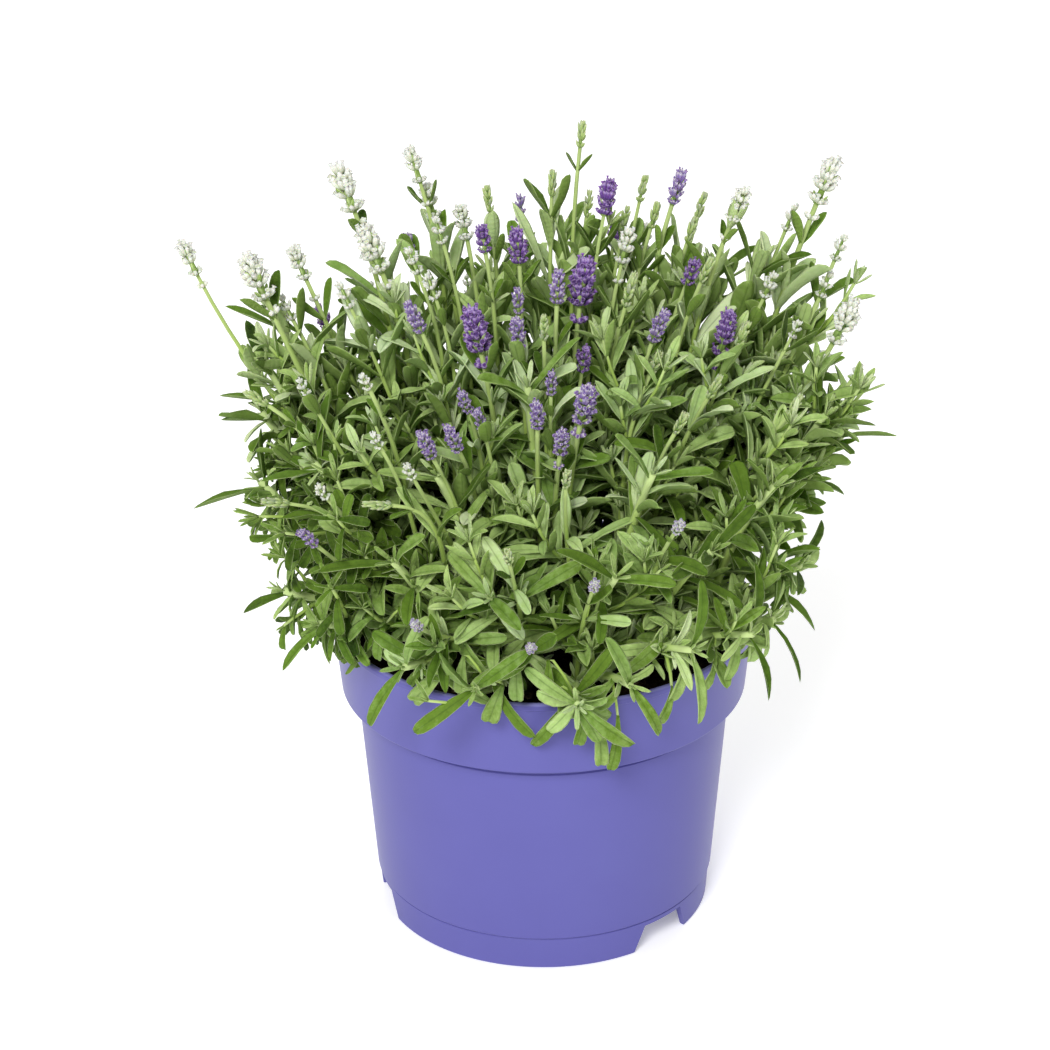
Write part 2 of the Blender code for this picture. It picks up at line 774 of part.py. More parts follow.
def place_leaf(room, number, path, t, turn, face, chance):
    """One leaf on a stem's face, or None where every way it could lie is taken."""
    joint = curve_point(path, t)
    stem, first, second = stem_frame(path, t, turn)
    angle = math.pi / 2 * face + math.pi / 4
    out = first * math.cos(angle) + second * math.sin(angle)
    side = stem.cross(out)
    length = chance.uniform(*LEAF_LENGTH)
    width = chance.uniform(*LEAF_WIDTH)
    top = t > TOP_LEAF_SHARE
    for attempt in range(LEAF_TRIES):
        lean = math.radians(chance.uniform(*(TOP_LEAF_LEAN if top else LEAF_LEAN)))
        swing = chance.uniform(-LEAF_SWING, LEAF_SWING) * attempt
        along = (stem * math.cos(lean) + out * math.sin(lean) + side * swing).normalized()
        across = (side - along * side.dot(along)).normalized()
        bend = chance.uniform(*LEAF_BEND)
        form = (joint, across, along, length, width, bend, top)
        if room.free(leaf_solid(*leaf_rings(*form, CLEARANCE), joint, across, along), stem=number):
            leaf = leaf_rings(*form)
            room.add(leaf_solid(*leaf, joint, across, along), stem=number)
            return leaf
    return None


def leaf_solid(rings, tip, joint, side, along):
    """The blade alone, closed at its root, to test where it can lie."""
    thick = along.cross(side) * LEAF_THICKNESS / 2
    centre = joint + along * LEAF_ROOT
    root = [centre - side - thick, centre + side - thick]
    root += [centre + side + thick, centre - side + thick]
    return closed_rings([root] + rings, tip)


def woody_base(place):
    x, y = place
    low = Vector((x, y, SOIL_TOP - BASE_DEPTH + GAP))
    high = Vector((x, y, SOIL_TOP + BASE_RISE))
    return prism(low, high, BASE_RADIUS, BASE_TOP_RADIUS, BASE_SIDES)


def plant(finishes):
    bases = base_places()
    room = Room()
    walls = bpy.data.objects["pot"].data
    points = [vertex.co / MM for vertex in walls.vertices]
    room.add((points, [tuple(face.vertices) for face in walls.polygons]))
    for number, place in enumerate(bases):
        room.add(woody_base(place), bunch=number)
    bunches, heads = place_stems(room, bases)
    shapes = place_leaves(room, bunches)
    for base in sorted(shapes):
        name = f"stems_{base + 1:02d}"
        target = mesh_object(name, woody_base(bases[base]), finishes["leafy"])
        others = []
        for number, shape in enumerate(shapes[base]):
            others.append(mesh_object(f"{name}_part_{number}", shape))
        combine(target, others, "UNION")
    for name, kind, shape in heads:
        mesh_object(name, shape, finishes[kind])
    return [bases[base] for base in sorted(bunches)]


def main():
    for thing in list(bpy.data.objects):
        bpy.data.objects.remove(thing)
    finishes = {
        "pot": material("violet_blue_polypropylene", "746EBB", 0.42),
        "soil": material("dark_compost", "221B16", 0.95),
        "leafy": material("lavender_leaf", "6E8A4A", 0.6),
        "white": material("white_floret", "EDEEE4", 0.6),
        "deep_purple": material("deep_purple_floret", "5A3490", 0.6),
        "violet": material("light_violet_floret", "8E78C8", 0.6),
    }
    pot(finishes["pot"])
    used = plant(finishes)
    soil(finishes["soil"], used)


main()
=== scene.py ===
# Potted lavender in its nursery pot: the finish of every surface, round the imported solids.
import math
import random

import bmesh
import bpy
from mathutils import Matrix, Vector, kdtree, noise
from mathutils.bvhtree import BVHTree


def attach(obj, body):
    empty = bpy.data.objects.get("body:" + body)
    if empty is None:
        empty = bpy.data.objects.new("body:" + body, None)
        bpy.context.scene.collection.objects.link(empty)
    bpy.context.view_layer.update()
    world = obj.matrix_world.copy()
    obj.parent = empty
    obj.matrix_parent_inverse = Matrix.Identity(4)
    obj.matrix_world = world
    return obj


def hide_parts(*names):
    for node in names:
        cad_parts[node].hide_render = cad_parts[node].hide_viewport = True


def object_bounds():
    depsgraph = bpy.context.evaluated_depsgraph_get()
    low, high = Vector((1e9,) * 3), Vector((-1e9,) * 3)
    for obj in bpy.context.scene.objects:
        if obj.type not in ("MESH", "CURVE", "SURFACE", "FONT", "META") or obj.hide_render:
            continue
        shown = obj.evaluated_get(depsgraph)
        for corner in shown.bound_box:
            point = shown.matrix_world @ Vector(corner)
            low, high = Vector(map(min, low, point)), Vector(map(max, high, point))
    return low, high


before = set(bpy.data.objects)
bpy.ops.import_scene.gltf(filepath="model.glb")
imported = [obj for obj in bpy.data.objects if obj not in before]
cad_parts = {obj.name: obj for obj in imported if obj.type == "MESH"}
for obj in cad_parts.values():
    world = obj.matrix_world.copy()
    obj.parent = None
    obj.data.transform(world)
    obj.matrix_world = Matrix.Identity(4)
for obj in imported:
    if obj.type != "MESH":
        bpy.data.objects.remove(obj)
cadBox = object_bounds()

mm = 0.001  # shapes below are worked out in millimetres and scaled at the end
up = Vector((0, 0, 1))
fullTurn = 2 * math.pi


# Small helpers for directions, materials and meshes

def around(first, second, angle):
    # the direction at an angle from first towards second
    return first * math.cos(angle) + second * math.sin(angle)


def squared(side, along):
    # the part of side that is square to along
    return (side - along * side.dot(along)).normalized()


def reachOf(p):
    return math.hypot(p.x, p.y)  # from the pot's axis


def share(value, low, high):
    # how far a value has come from low to high, between 0 and 1
    return max(0.0, min(1.0, (value - low) / (high - low)))


def toLinear(hexText):
    # sRGB hex to the linear colour that a shader wants
    values = [int(hexText[i : i + 2], 16) / 255 for i in (0, 2, 4)]
    return [v / 12.92 if v <= 0.04045 else ((v + 0.055) / 1.055) ** 2.4 for v in values] + [1.0]


def setInputs(tree, node, inputs):
    # a node stands for its first output in use; what is neither node nor socket is a value
    for name, value in inputs.items():
        if isinstance(value, bpy.types.Node):
            value = next(socket for socket in value.outputs if socket.enabled)
        if isinstance(value, bpy.types.NodeSocket):
            tree.links.new(value, node.inputs[name])
        else:
            node.inputs[name].default_value = value


def addNode(tree, kind, inputs=None, **settings):
    # one node with its settings, its ramp stops if any, and its values or links
    node = tree.nodes.new("ShaderNode" + kind)
    for name, value in settings.items():
        if name == "stops":
            ramp = node.color_ramp.elements
            while len(ramp) < len(value):
                ramp.new(0.5)
            for element, (place, colour) in zip(ramp, value):
                element.position = place
                element.color = toLinear(colour)
        else:
            setattr(node, name, value)
    setInputs(tree, node, inputs or {})
    return node


def newMaterial(name, values):
    # values go straight on the shader's own sockets
    made = bpy.data.materials.new(name)
    made.use_nodes = True
    setInputs(made.node_tree, made.node_tree.nodes["Principled BSDF"], values)
    return made, made.node_tree


def finishMaterial(made, colour, height, strength, distance, more=None):
    # links the colour and the relief, and hands the material back
    tree = made.node_tree
    bump = addNode(tree, "Bump", {"Height": height, "Strength": strength, "Distance": distance})
    setInputs(tree, tree.nodes["Principled BSDF"], {"Base Color": colour, "Normal": bump, **(more or {})})
    return made


def toMesh(name, bm, materials=()):
    mesh = bpy.data.meshes.new(name)
    bm.to_mesh(mesh)
    bm.free()
    for made in materials:
        mesh.materials.append(made)
    return mesh


def addObject(name, data):
    made = bpy.data.objects.new(name, data)
    bpy.context.scene.collection.objects.link(made)
    return made


def addPiece(name, bm, materials, replaced=()):
    # a finished piece: mesh in metres at the origin, inside the solids' box, riding on the root body
    bmesh.ops.scale(bm, vec=(mm, mm, mm), verts=bm.verts)
    low, high = cadBox
    for vertex in bm.verts:
        vertex.co = [min(max(vertex.co[i], low[i]), high[i]) for i in range(3)]
    piece = addObject(name, toMesh(name, bm, materials))
    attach(piece, "root")
    if replaced:
        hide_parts(*replaced)
    return piece


def newGrowth():
    # an empty bmesh with the layers that the plant's materials read
    bm = bmesh.new()
    bm.loops.layers.uv.new("growth")
    bm.verts.layers.float.new("tone")
    return bm


def addCopy(bm, template, place, tone=0.5, finish=0):
    # one more copy of a template mesh, each vertex put where place() says
    firstVert, firstFace = len(bm.verts), len(bm.faces)
    bm.from_mesh(template)
    bm.verts.ensure_lookup_table()
    bm.faces.ensure_lookup_table()
    toneLayer = bm.verts.layers.float["tone"]
    for vertex in bm.verts[firstVert:]:
        vertex.co = place(vertex.co)
        vertex[toneLayer] = tone
    for face in bm.faces[firstFace:]:
        face.material_index = finish
        face.smooth = True


# Materials

def makePotMaterial():
    # injection-moulded polypropylene: satin, coloured through, with a fine even grain, and a painted
    # highlight along the lip's edge
    plastic = {
        "colour": "605EA2", "deeper": "5E5C9F", "dusty": "6261A4", "paintedLipHighlight": "8E8CCB",
        "roughness": 0.36, "grain": 0.35, "cloud": 60.0,  # grain and cloud sizes in mm
    }
    made, tree = newMaterial("mouldedPolypropylene", {"IOR": 1.49, "Specular IOR Level": 0.14})
    place = addNode(tree, "TexCoord").outputs["Object"]
    cloud = addNode(tree, "TexNoise", {
        "Vector": place, "Scale": 1000 / plastic["cloud"], "Detail": 4.0, "Roughness": 0.55})
    tint = addNode(tree, "ValToRGB", {"Fac": cloud}, stops=[
        (0.30, plastic["deeper"]), (0.55, plastic["colour"]), (0.80, plastic["dusty"])])
    height = addNode(tree, "SeparateXYZ", {"Vector": place}).outputs["Z"]
    # painted highlight: the top of the lip is lightened, standing in for the light its round edge catches
    paintedLipHighlight = addNode(tree, "MapRange", {
        "Value": height, "From Min": (potPlan["height"] - 0.9) * mm,
        "From Max": (potPlan["height"] - 0.2) * mm, "To Max": 0.65})
    withLipHighlight = addNode(tree, "Mix", {"Factor": paintedLipHighlight, "A": tint, "B": toLinear(plastic["paintedLipHighlight"])}, data_type="RGBA")
    grain = addNode(tree, "TexNoise", {"Vector": place, "Scale": 1000 / plastic["grain"], "Detail": 2.0})
    shine = addNode(tree, "MapRange", {
        "Value": cloud, "To Min": plastic["roughness"] - 0.05, "To Max": plastic["roughness"] + 0.08})
    return finishMaterial(made, withLipHighlight, grain, 0.12, 0.0001, {"Roughness": shine})


def makeCompostMaterial():
    # damp peat compost: near black, matt, with paler fibres
    compost = {"crumbs": 420.0, "fibres": 160.0}  # to a metre
    made, tree = newMaterial("dampCompost", {"IOR": 1.4, "Roughness": 0.93, "Specular IOR Level": 0.2})
    place = addNode(tree, "TexCoord").outputs["Object"]
    crumbs = addNode(tree, "TexVoronoi", {"Vector": place, "Scale": compost["crumbs"]})
    earth = addNode(tree, "TexNoise", {"Vector": place, "Scale": compost["fibres"], "Detail": 6.0})
    tint = addNode(tree, "ValToRGB", {"Fac": earth}, stops=[
        (0.25, "0F0B08"), (0.5, "231A13"), (0.68, "3A2C20"), (0.85, "5A4733")])
    return finishMaterial(made, tint, crumbs, 0.8, 0.0015)


def makeBarkMaterial():
    # young lavender wood: flaking grey-brown bark
    flake = 2.0  # mm
    made, tree = newMaterial("flakingBark", {"Roughness": 0.9, "Specular IOR Level": 0.2})
    place = addNode(tree, "TexCoord").outputs["Object"]
    flakes = addNode(tree, "TexNoise", {"Vector": place, "Scale": 1000 / flake, "Detail": 5.0})
    tint = addNode(tree, "ValToRGB", {"Fac": flakes}, stops=[
        (0.35, "33271C"), (0.6, "6B5A43"), (0.8, "8C7C62")])
    return finishMaterial(made, tint, flakes, 0.7, 0.0006)


def readGrowth(tree):
    # what the plant's materials start from: place, across and along the piece, and its tone
    parts = addNode(tree, "SeparateXYZ", {"Vector": addNode(tree, "UVMap", uv_map="growth")}).outputs
    tone = addNode(tree, "Attribute", attribute_name="tone").outputs["Fac"]
    return addNode(tree, "TexCoord").outputs["Object"], parts["X"], parts["Y"], tone


def makeLeafMaterial():
    # a felted leaf: sage green, paler margins, a sunk midrib with painted shade along its groove, paler
    # below, soft and hardly glossy
    leaf = {
        "deep": "233A02", "mid": "65832A", "light": "B0C97C", "young": "D2E1B0",
        "below": "88A252", "edge": "CBDB9E", "grooveShade": "34501A", "sage": "D6E8F2",
        "hair": 0.5, "clouds": 260.0,  # mm between hairs, and paler and darker patches to a metre
        "drift": 45.0, "vein": 2.6,   # mm across the patches that turn to sage; waves along a leaf
    }
    made, tree = newMaterial("feltedLavenderLeaf", {
        "IOR": 1.42, "Roughness": 0.50, "Specular IOR Level": 0.14, "Sheen Weight": 0.03,
        "Sheen Roughness": 0.5, "Subsurface Weight": 0.14, "Subsurface Scale": 0.0012,
        "Subsurface Radius": (0.6, 1.0, 0.25), "Sheen Tint": (0.85, 0.92, 0.75, 1.0)})
    place, across, along, tone = readGrowth(tree)
    inHalf = addNode(tree, "Math", {0: across}, operation="FRACT")
    below = addNode(tree, "Math", {0: across, 1: 1.0}, operation="GREATER_THAN")
    fromRib = addNode(tree, "Math", {0: inHalf, 1: 0.5}, operation="SUBTRACT")
    away = addNode(tree, "Math", {0: fromRib}, operation="ABSOLUTE")
    cloud = addNode(tree, "TexNoise", {
        "Vector": place, "Scale": leaf["clouds"], "Detail": 5.0, "Roughness": 0.62})
    shift = addNode(tree, "Math", {0: cloud, 1: 0.42, 2: -0.21}, operation="MULTIPLY_ADD")
    level = addNode(tree, "Math", {0: tone, 1: shift}, operation="ADD")
    tint = addNode(tree, "ValToRGB", {"Fac": level}, stops=[
        (0.0, leaf["deep"]), (0.38, leaf["mid"]), (0.72, leaf["light"]), (1.0, leaf["young"])])
    drift = addNode(tree, "TexNoise", {"Vector": place, "Scale": 1000 / leaf["drift"], "Detail": 1.0})
    sage = addNode(tree, "MapRange", {"Value": drift, "From Min": 0.44, "From Max": 0.64, "To Max": 0.32})
    cooled = addNode(tree, "Mix", {"Factor": sage, "A": tint, "B": toLinear(leaf["sage"])},
                     data_type="RGBA", blend_type="MULTIPLY")
    turned = addNode(tree, "Math", {0: below, 1: 0.55}, operation="MULTIPLY")
    lower = addNode(tree, "Mix", {"Factor": turned, "A": cooled, "B": toLinear(leaf["below"])},
                    data_type="RGBA")
    rim = addNode(tree, "MapRange", {"Value": away, "From Min": 0.425, "From Max": 0.485, "To Max": 0.64},
                  interpolation_type="SMOOTHSTEP")
    # painted shade: a darker line down the middle of the leaf, where the sunk midrib's groove lies in shade
    grooveShadeMask = addNode(tree, "MapRange", {"Value": away, "From Min": 0.08, "From Max": 0.01, "To Max": 0.36},
                  interpolation_type="SMOOTHSTEP")
    sunk = addNode(tree, "Mix", {"Factor": grooveShadeMask, "A": lower, "B": toLinear(leaf["grooveShade"])}, data_type="RGBA")
    edged = addNode(tree, "Mix", {"Factor": rim, "A": sunk, "B": toLinear(leaf["edge"])}, data_type="RGBA")
    hairs = addNode(tree, "TexNoise", {
        "Vector": place, "Scale": 1000 / leaf["hair"], "Detail": 2.0, "Roughness": 0.6})
    lengthwise = addNode(tree, "CombineXYZ", {"X": across, "Y": along})
    veins = addNode(tree, "TexWave", {
        "Vector": lengthwise, "Scale": leaf["vein"], "Distortion": 1.5, "Detail": 1.0}, bands_direction="Y")
    relief = addNode(tree, "Math", {0: veins.outputs["Fac"], 1: 0.35, 2: hairs}, operation="MULTIPLY_ADD")
    return finishMaterial(made, edged, relief, 0.7, 0.0004)


def makeStemMaterial():
    # a square herbaceous stem: grey-brown at the foot, fresh green above, with pale ridges; the flower stalks
    # darker, partly their own colour and partly painted shade
    stem = {"clouds": 260.0, "fuzz": 2400.0, "ridges": 4}  # to a metre, to a metre, and round the stem
    made, tree = newMaterial("squareGreenStem", {
        "IOR": 1.42, "Roughness": 0.6, "Specular IOR Level": 0.2, "Sheen Weight": 0.10})
    place, across, along, tone = readGrowth(tree)
    cloud = addNode(tree, "TexNoise", {"Vector": place, "Scale": stem["clouds"], "Detail": 3.0})
    age = addNode(tree, "Math", {0: cloud, 1: 0.16, 2: along}, operation="MULTIPLY_ADD")
    green = addNode(tree, "ValToRGB", {"Fac": age}, stops=[
        (0.08, "4F4530"), (0.20, "859C48"), (0.40, "A9C65E"), (0.8, "B8D272"), (1.0, "C2D690")])
    # flower stalks take a darker, greyer green than the leafy stems: partly their own colour, partly painted
    # shade
    stalkColourAndShade = addNode(tree, "Mix", {"Factor": 1.0, "A": green, "B": toLinear("D8DCC6")},
                    data_type="RGBA", blend_type="MULTIPLY")
    shade = addNode(tree, "Mix", {"Factor": tone, "A": stalkColourAndShade, "B": green}, data_type="RGBA")
    ridges = addNode(tree, "Math", {0: across, 1: stem["ridges"] * fullTurn}, operation="MULTIPLY")
    ribs = addNode(tree, "Math", {0: ridges}, operation="COSINE")
    fuzz = addNode(tree, "TexNoise", {"Vector": place, "Scale": stem["fuzz"], "Detail": 1.0})
    relief = addNode(tree, "Math", {0: ribs, 1: 0.4, 2: fuzz}, operation="MULTIPLY_ADD")
    return finishMaterial(made, shade, relief, 0.25, 0.0002)


def makeCalyxMaterial(name, colours, blush):
    # a woolly ribbed calyx: its colours run from the base over the rim into the dark mouth
    calyx = {"clouds": 1100.0, "wool": 2600.0, "ribs": 8}  # to a metre, to a metre, and round the calyx
    base, body, upper, rim, mouth = colours
    made, tree = newMaterial(name, {
        "IOR": 1.4, "Roughness": 0.64, "Specular IOR Level": 0.26, "Sheen Weight": 0.25,
        "Sheen Roughness": 0.45, "Subsurface Weight": 0.08, "Subsurface Scale": 0.0008})
    place, across, along, tone = readGrowth(tree)
    cloud = addNode(tree, "TexNoise", {"Vector": place, "Scale": calyx["clouds"], "Detail": 3.0})
    shift = addNode(tree, "Math", {0: cloud, 1: 0.36, 2: -0.18}, operation="MULTIPLY_ADD")
    height = addNode(tree, "Math", {0: along, 1: shift}, operation="ADD")
    tint = addNode(tree, "ValToRGB", {"Fac": height}, stops=[
        (0.04, base), (0.24, body), (0.58, upper), (0.80, rim), (0.87, rim), (0.93, mouth)])
    turns = addNode(tree, "Math", {0: across, 1: calyx["ribs"] * fullTurn}, operation="MULTIPLY")
    ribs = addNode(tree, "Math", {0: turns}, operation="COSINE")
    fade = addNode(tree, "MapRange", {"Value": ribs, "From Min": 0.2, "To Max": 0.34})
    ribbed = addNode(tree, "Mix", {"Factor": fade, "A": tint, "B": toLinear(rim)}, data_type="RGBA")
    some = addNode(tree, "MapRange", {"Value": tone, "From Min": 0.5, "To Max": 0.75})
    mixed = addNode(tree, "Mix", {"Factor": some, "A": ribbed, "B": toLinear(blush)}, data_type="RGBA")
    wool = addNode(tree, "TexNoise", {"Vector": place, "Scale": calyx["wool"], "Detail": 2.0})
    relief = addNode(tree, "Math", {0: ribs, 1: 0.35, 2: wool}, operation="MULTIPLY_ADD")
    return finishMaterial(made, mixed, relief, 0.5, 0.0003)


# The pot and its filling

potPlan = {
    "height": 143.0, "rimRadius": 95.0, "bandRadius": 91.0, "bandBottom": 108.0,
    "topRadius": 83.8, "bottomRadius": 77.2, "footRadius": 75.2, "footHeight": 15.5,
    "footWall": 2.5, "wall": 1.4, "floor": 2.0, "segments": 180, "sharpAngle": 28,
    "notchAngles": (-45.3, 74.7, 194.7), "notchLow": 33.0, "notchTop": 23.0, "notchHeight": 13.0,
    "drainHoles": 6, "drainRadius": 4.0, "drainCircle": 52.0,
}


def arc(centre, radius, first, last, steps):
    # points of (radius, height) round a corner, angles in degrees
    turns = [math.radians(first + (last - first) * k / steps) for k in range(steps + 1)]
    return [(centre[0] + radius * math.cos(turn), centre[1] + radius * math.sin(turn)) for turn in turns]


def potProfile():
    # from under the floor, up the outside, over the lip and down inside to the floor
    p = potPlan
    foot, rim, top, low = p["footHeight"], p["rimRadius"], p["height"], p["bandBottom"]
    ring, neck, band, wall = p["footRadius"], p["topRadius"], p["bandRadius"], p["wall"]
    inner = ring - p["footWall"]
    outside = [(0, foot), (inner, foot), (inner, 0.3), (inner + 0.3, 0), (ring - 0.4, 0), (ring, 0.4)]
    outside += [(ring + 1.15, foot - 0.5), (ring + 0.75, foot - 0.1), (ring + 0.75, foot + 0.15)]  # the seam
    outside += arc((p["bottomRadius"] - 0.8, foot + 1.3), 0.8, -70, 0, 4)
    outside += [(neck, low - 5.4), (neck - 0.55, low - 4.8), (neck - 0.5, low - 3.9), (neck + 0.5, low - 3.3)]
    outside += [(band - 1.3, low - 0.6)] + arc((band - 1.0, low + 0.6), 1.0, -60, 0, 4)
    outside += [(rim - 1.1, top - 4.4), (rim - 0.75, top - 3.5), (rim - 0.25, top - 3.1)]
    outside += arc((rim - 1.3, top - 1.3), 1.3, 0, 90, 6) + arc((rim - 1.9, top - 0.8), 0.8, 90, 180, 4)
    inside = [(band - wall, low + 2.4), (neck - wall, low - 0.4)]
    return outside + inside + [(p["bottomRadius"] - wall, foot + p["floor"]), (0, foot + p["floor"])]


def spinProfile(profile, steps):
    # turns a profile that starts and ends on the axis into a closed body
    bm = bmesh.new()
    points = [bm.verts.new((r, 0, z)) for r, z in profile]
    edges = [bm.edges.new(pair) for pair in zip(points, points[1:])]
    bmesh.ops.spin(bm, geom=points + edges, cent=(0, 0, 0), axis=(0, 0, 1),
                   angle=fullTurn, steps=steps, use_merge=True)
    bmesh.ops.remove_doubles(bm, verts=bm.verts, dist=0.001)
    bmesh.ops.recalc_face_normals(bm, faces=bm.faces)
    return bm


def addCutter(bm, place, radiusLow, radiusTop, depth, sides):
    # a prism whose middle is at place, to be cut out of the pot
    bmesh.ops.create_cone(bm, cap_ends=True, cap_tris=False, segments=sides,
                          radius1=radiusLow, radius2=radiusTop, depth=depth, matrix=place)


def makePot(plastic):
    p = potPlan
    pot = addPiece("moulded_pot", spinProfile(potProfile(), p["segments"]), [plastic], ["pot"])
    cutters = bmesh.new()
    height = p["notchHeight"] + 1.0
    for degrees in p["notchAngles"]:
        # a four-sided cone turned square to the ring, then squeezed to the notch's sloped sides
        place = Matrix.Rotation(math.radians(degrees), 4, "Z")
        place = place @ Matrix.Translation((p["footRadius"] - 3, 0, height / 2 - 1.0))
        place = place @ Matrix.Diagonal((0.75, 1, 1, 1)) @ Matrix.Rotation(math.pi / 4, 4, "Z")
        addCutter(cutters, place, p["notchLow"] / math.sqrt(2) + 0.4, p["notchTop"] / math.sqrt(2), height, 4)
    for number in range(p["drainHoles"]):
        angle = math.radians(p["notchAngles"][0]) + fullTurn * number / p["drainHoles"]
        spot = Vector((math.cos(angle), math.sin(angle), 0)) * p["drainCircle"]
        place = Matrix.Translation(spot + up * (p["footHeight"] + 1))
        addCutter(cutters, place, p["drainRadius"], p["drainRadius"], 8, 32)
    bmesh.ops.scale(cutters, vec=(mm, mm, mm), verts=cutters.verts)
    cutter = addObject("cutters", toMesh("cutters", cutters))
    cut = pot.modifiers.new("Cut", "BOOLEAN")
    cut.operation = "DIFFERENCE"
    cut.object = cutter
    shaped = bpy.data.meshes.new_from_object(pot.evaluated_get(bpy.context.evaluated_depsgraph_get()))
    pot.modifiers.clear()
    pot.data = shaped
    shaped.name = "moulded_pot"
    bpy.data.objects.remove(cutter)
    shaped.shade_smooth()
    shaped.set_sharp_from_angle(angle=math.radians(p["sharpAngle"]))


def makeCompost(compost):
    soil = {
        "top": 123.0, "edge": 90.1, "mound": 2.0, "rough": 2.6, "gap": 0.3,  # mm, as the rest
        "rings": 26, "crumbs": 900, "largest": 3.2, "smallest": 0.9,
    }
    p = potPlan
    top, edge = soil["top"], soil["edge"]
    gap = p["wall"] + soil["gap"]
    floorTop = p["footHeight"] + p["floor"] + soil["gap"]
    profile = [(0, floorTop), (p["bottomRadius"] - gap, floorTop),
               (p["topRadius"] - gap - 0.1, p["bandBottom"] - 0.1),
               (p["bandRadius"] - gap - 0.2, p["bandBottom"] + 2.7), (edge, top - 1.5)]
    profile += [(edge * (1 - k / soil["rings"]), top + soil["mound"] * k / soil["rings"])
                for k in range(1, soil["rings"] + 1)]
    bm = spinProfile(profile, 96)
    for vertex in bm.verts:
        if vertex.co.z > top - 1.0:
            inward = min(1.0, (edge - reachOf(vertex.co)) / 4)
            vertex.co.z += soil["rough"] * inward * noise.fractal(vertex.co / 9, 0.8, 2.2, 4)
    for face in bm.faces:
        face.smooth = True
    addPiece("compost", bm, [compost], ["soil"])
    chance = random.Random(41)
    noise.seed_set(41)  # else noise_vector differs from run to run
    bm = bmesh.new()
    for crumb in range(soil["crumbs"]):
        reach = (edge - 3) * math.sqrt(chance.uniform(0.12, 1))
        angle = chance.uniform(0, fullTurn)
        size = soil["smallest"] + (soil["largest"] - soil["smallest"]) * chance.random() ** 3
        height = top + soil["mound"] * (1 - reach / edge) + size * 0.2
        spot = Matrix.Translation((reach * math.cos(angle), reach * math.sin(angle), height))
        turn = Matrix.Rotation(chance.uniform(0, 6.3), 4, (chance.random(), chance.random(), 0.3))
        shape = Matrix.Diagonal((size, size * chance.uniform(0.5, 1), size * chance.uniform(0.35, 0.8), 1))
        made = bmesh.ops.create_icosphere(bm, subdivisions=1, radius=1, matrix=spot @ turn @ shape)
        for vertex in made["verts"]:
            vertex.co += noise.noise_vector(vertex.co * 0.9) * size * 0.3
    addPiece("compost_crumbs", bm, [compost])
    print("made the pot and its compost")


# The plant's plan, in millimetres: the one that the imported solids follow, so that each fine
# bunch stands where its solid does

plan = {
    "baseCount": 27, "baseSpread": 68.0, "mostStems": 7, "basePull": 0.46,
    "soilTop": 123.0, "baseRise": 7.0, "baseDepth": 16.7, "baseRadius": 3.4, "baseTopRadius": 2.6,
    "stemLow": 1.35, "stemHigh": 0.85, "leafLength": (26.0, 35.0), "leafWidth": (5.4, 6.8),
    "clearance": 0.35, "gap": 0.3,
    "heads": {"S": (12.5, 3.3, 3, 6), "M": (16.5, 4.1, 4, 6), "L": (22.0, 6.2, 5, 8)},
    "swells": (0.52, 1.0, 1.0, 0.94, 0.84, 0.7),  # of a head's rings
    # a stem starts this deep and far aside in its base, leans there, and holds both directions so long
    "sunk": 3.0, "aside": 1.4, "leaveLean": 0.35, "holds": (0.36, 0.34),
    # a tip points out at this height and reach, and the more upwards the higher it is
    "leanReach": 60.0, "leanHeight": 142.0, "leanRise": 62.0, "steepest": 2.4,
    "leafyStations": (0.72, 0.96), "stalkStations": (0.6,), "stalksWithLeaves": 4,  # one in so many
    # where the solids' stems have a ring, with leaves and without, and the length that a leaf pair takes
    "leafyRings": (0.0, 0.3, 0.62, 1.0), "bareRings": (0.0, 0.45, 1.0), "nodeLength": 1.6,
}

# middles of the flower heads: right, back, height and size
whiteHeads = [
    (-151, 10, 305, "M"), (-122, 0, 300, "L"), (-105, 20, 299, "M"), (-85, 40, 326, "L"),
    (-73, 20, 305, "L"), (-55, 50, 333, "M"), (-49, 52, 316, "M"), (-44, 26, 311, "S"),
    (-55, 10, 303, "S"), (-34, 40, 310, "M"), (-84, 0, 291, "S"),
    (-110, 10, 282, "S"), (-47, 0, 295, "S"), (-100, -50, 271, "S"), (-74, -50, 273, "S"),
    (-69, -70, 255, "S"), (-55, -80, 245, "S"), (-92, -75, 234, "S"), (37, 30, 302, "M"),
    (85, 20, 324, "M"), (109, 40, 311, "S"), (124, 40, 328, "L"), (131, 40, 297, "S"),
    (124, 26, 285, "S"), (99, 20, 287, "S"), (130, 0, 278, "L"), (110, 0, 276, "S"),
    (137, 0, 256, "S"),
]
deepPurpleHeads = [
    (-10, 20, 306, "M"), (29, 40, 321, "M"), (18, 10, 293, "L"), (-28, -20, 283, "L"),
    (-25, 20, 309, "S"), (18, -20, 269, "S"), (65, 20, 293, "S"), (79, 0, 273, "L"),
]
violetHeads = [
    (-54, -10, 285, "M"), (7, -4, 296, "M"), (-10, 0, 288, "S"), (-10, -20, 281, "M"),
    (50, -10, 280, "M"), (-32, -50, 262, "S"), (-26, -55, 256, "S"), (-37, -60, 250, "M"),
    (-48, -65, 249, "M"), (-2, -55, 258, "M"), (8, -60, 248, "M"), (18, -45, 259, "L"),
    (4, -40, 266, "S"), (60, 50, 322, "M"), (-97, -80, 214, "S"), (-52, -115, 191, "S"),
    (-5, -120, 183, "S"),
]
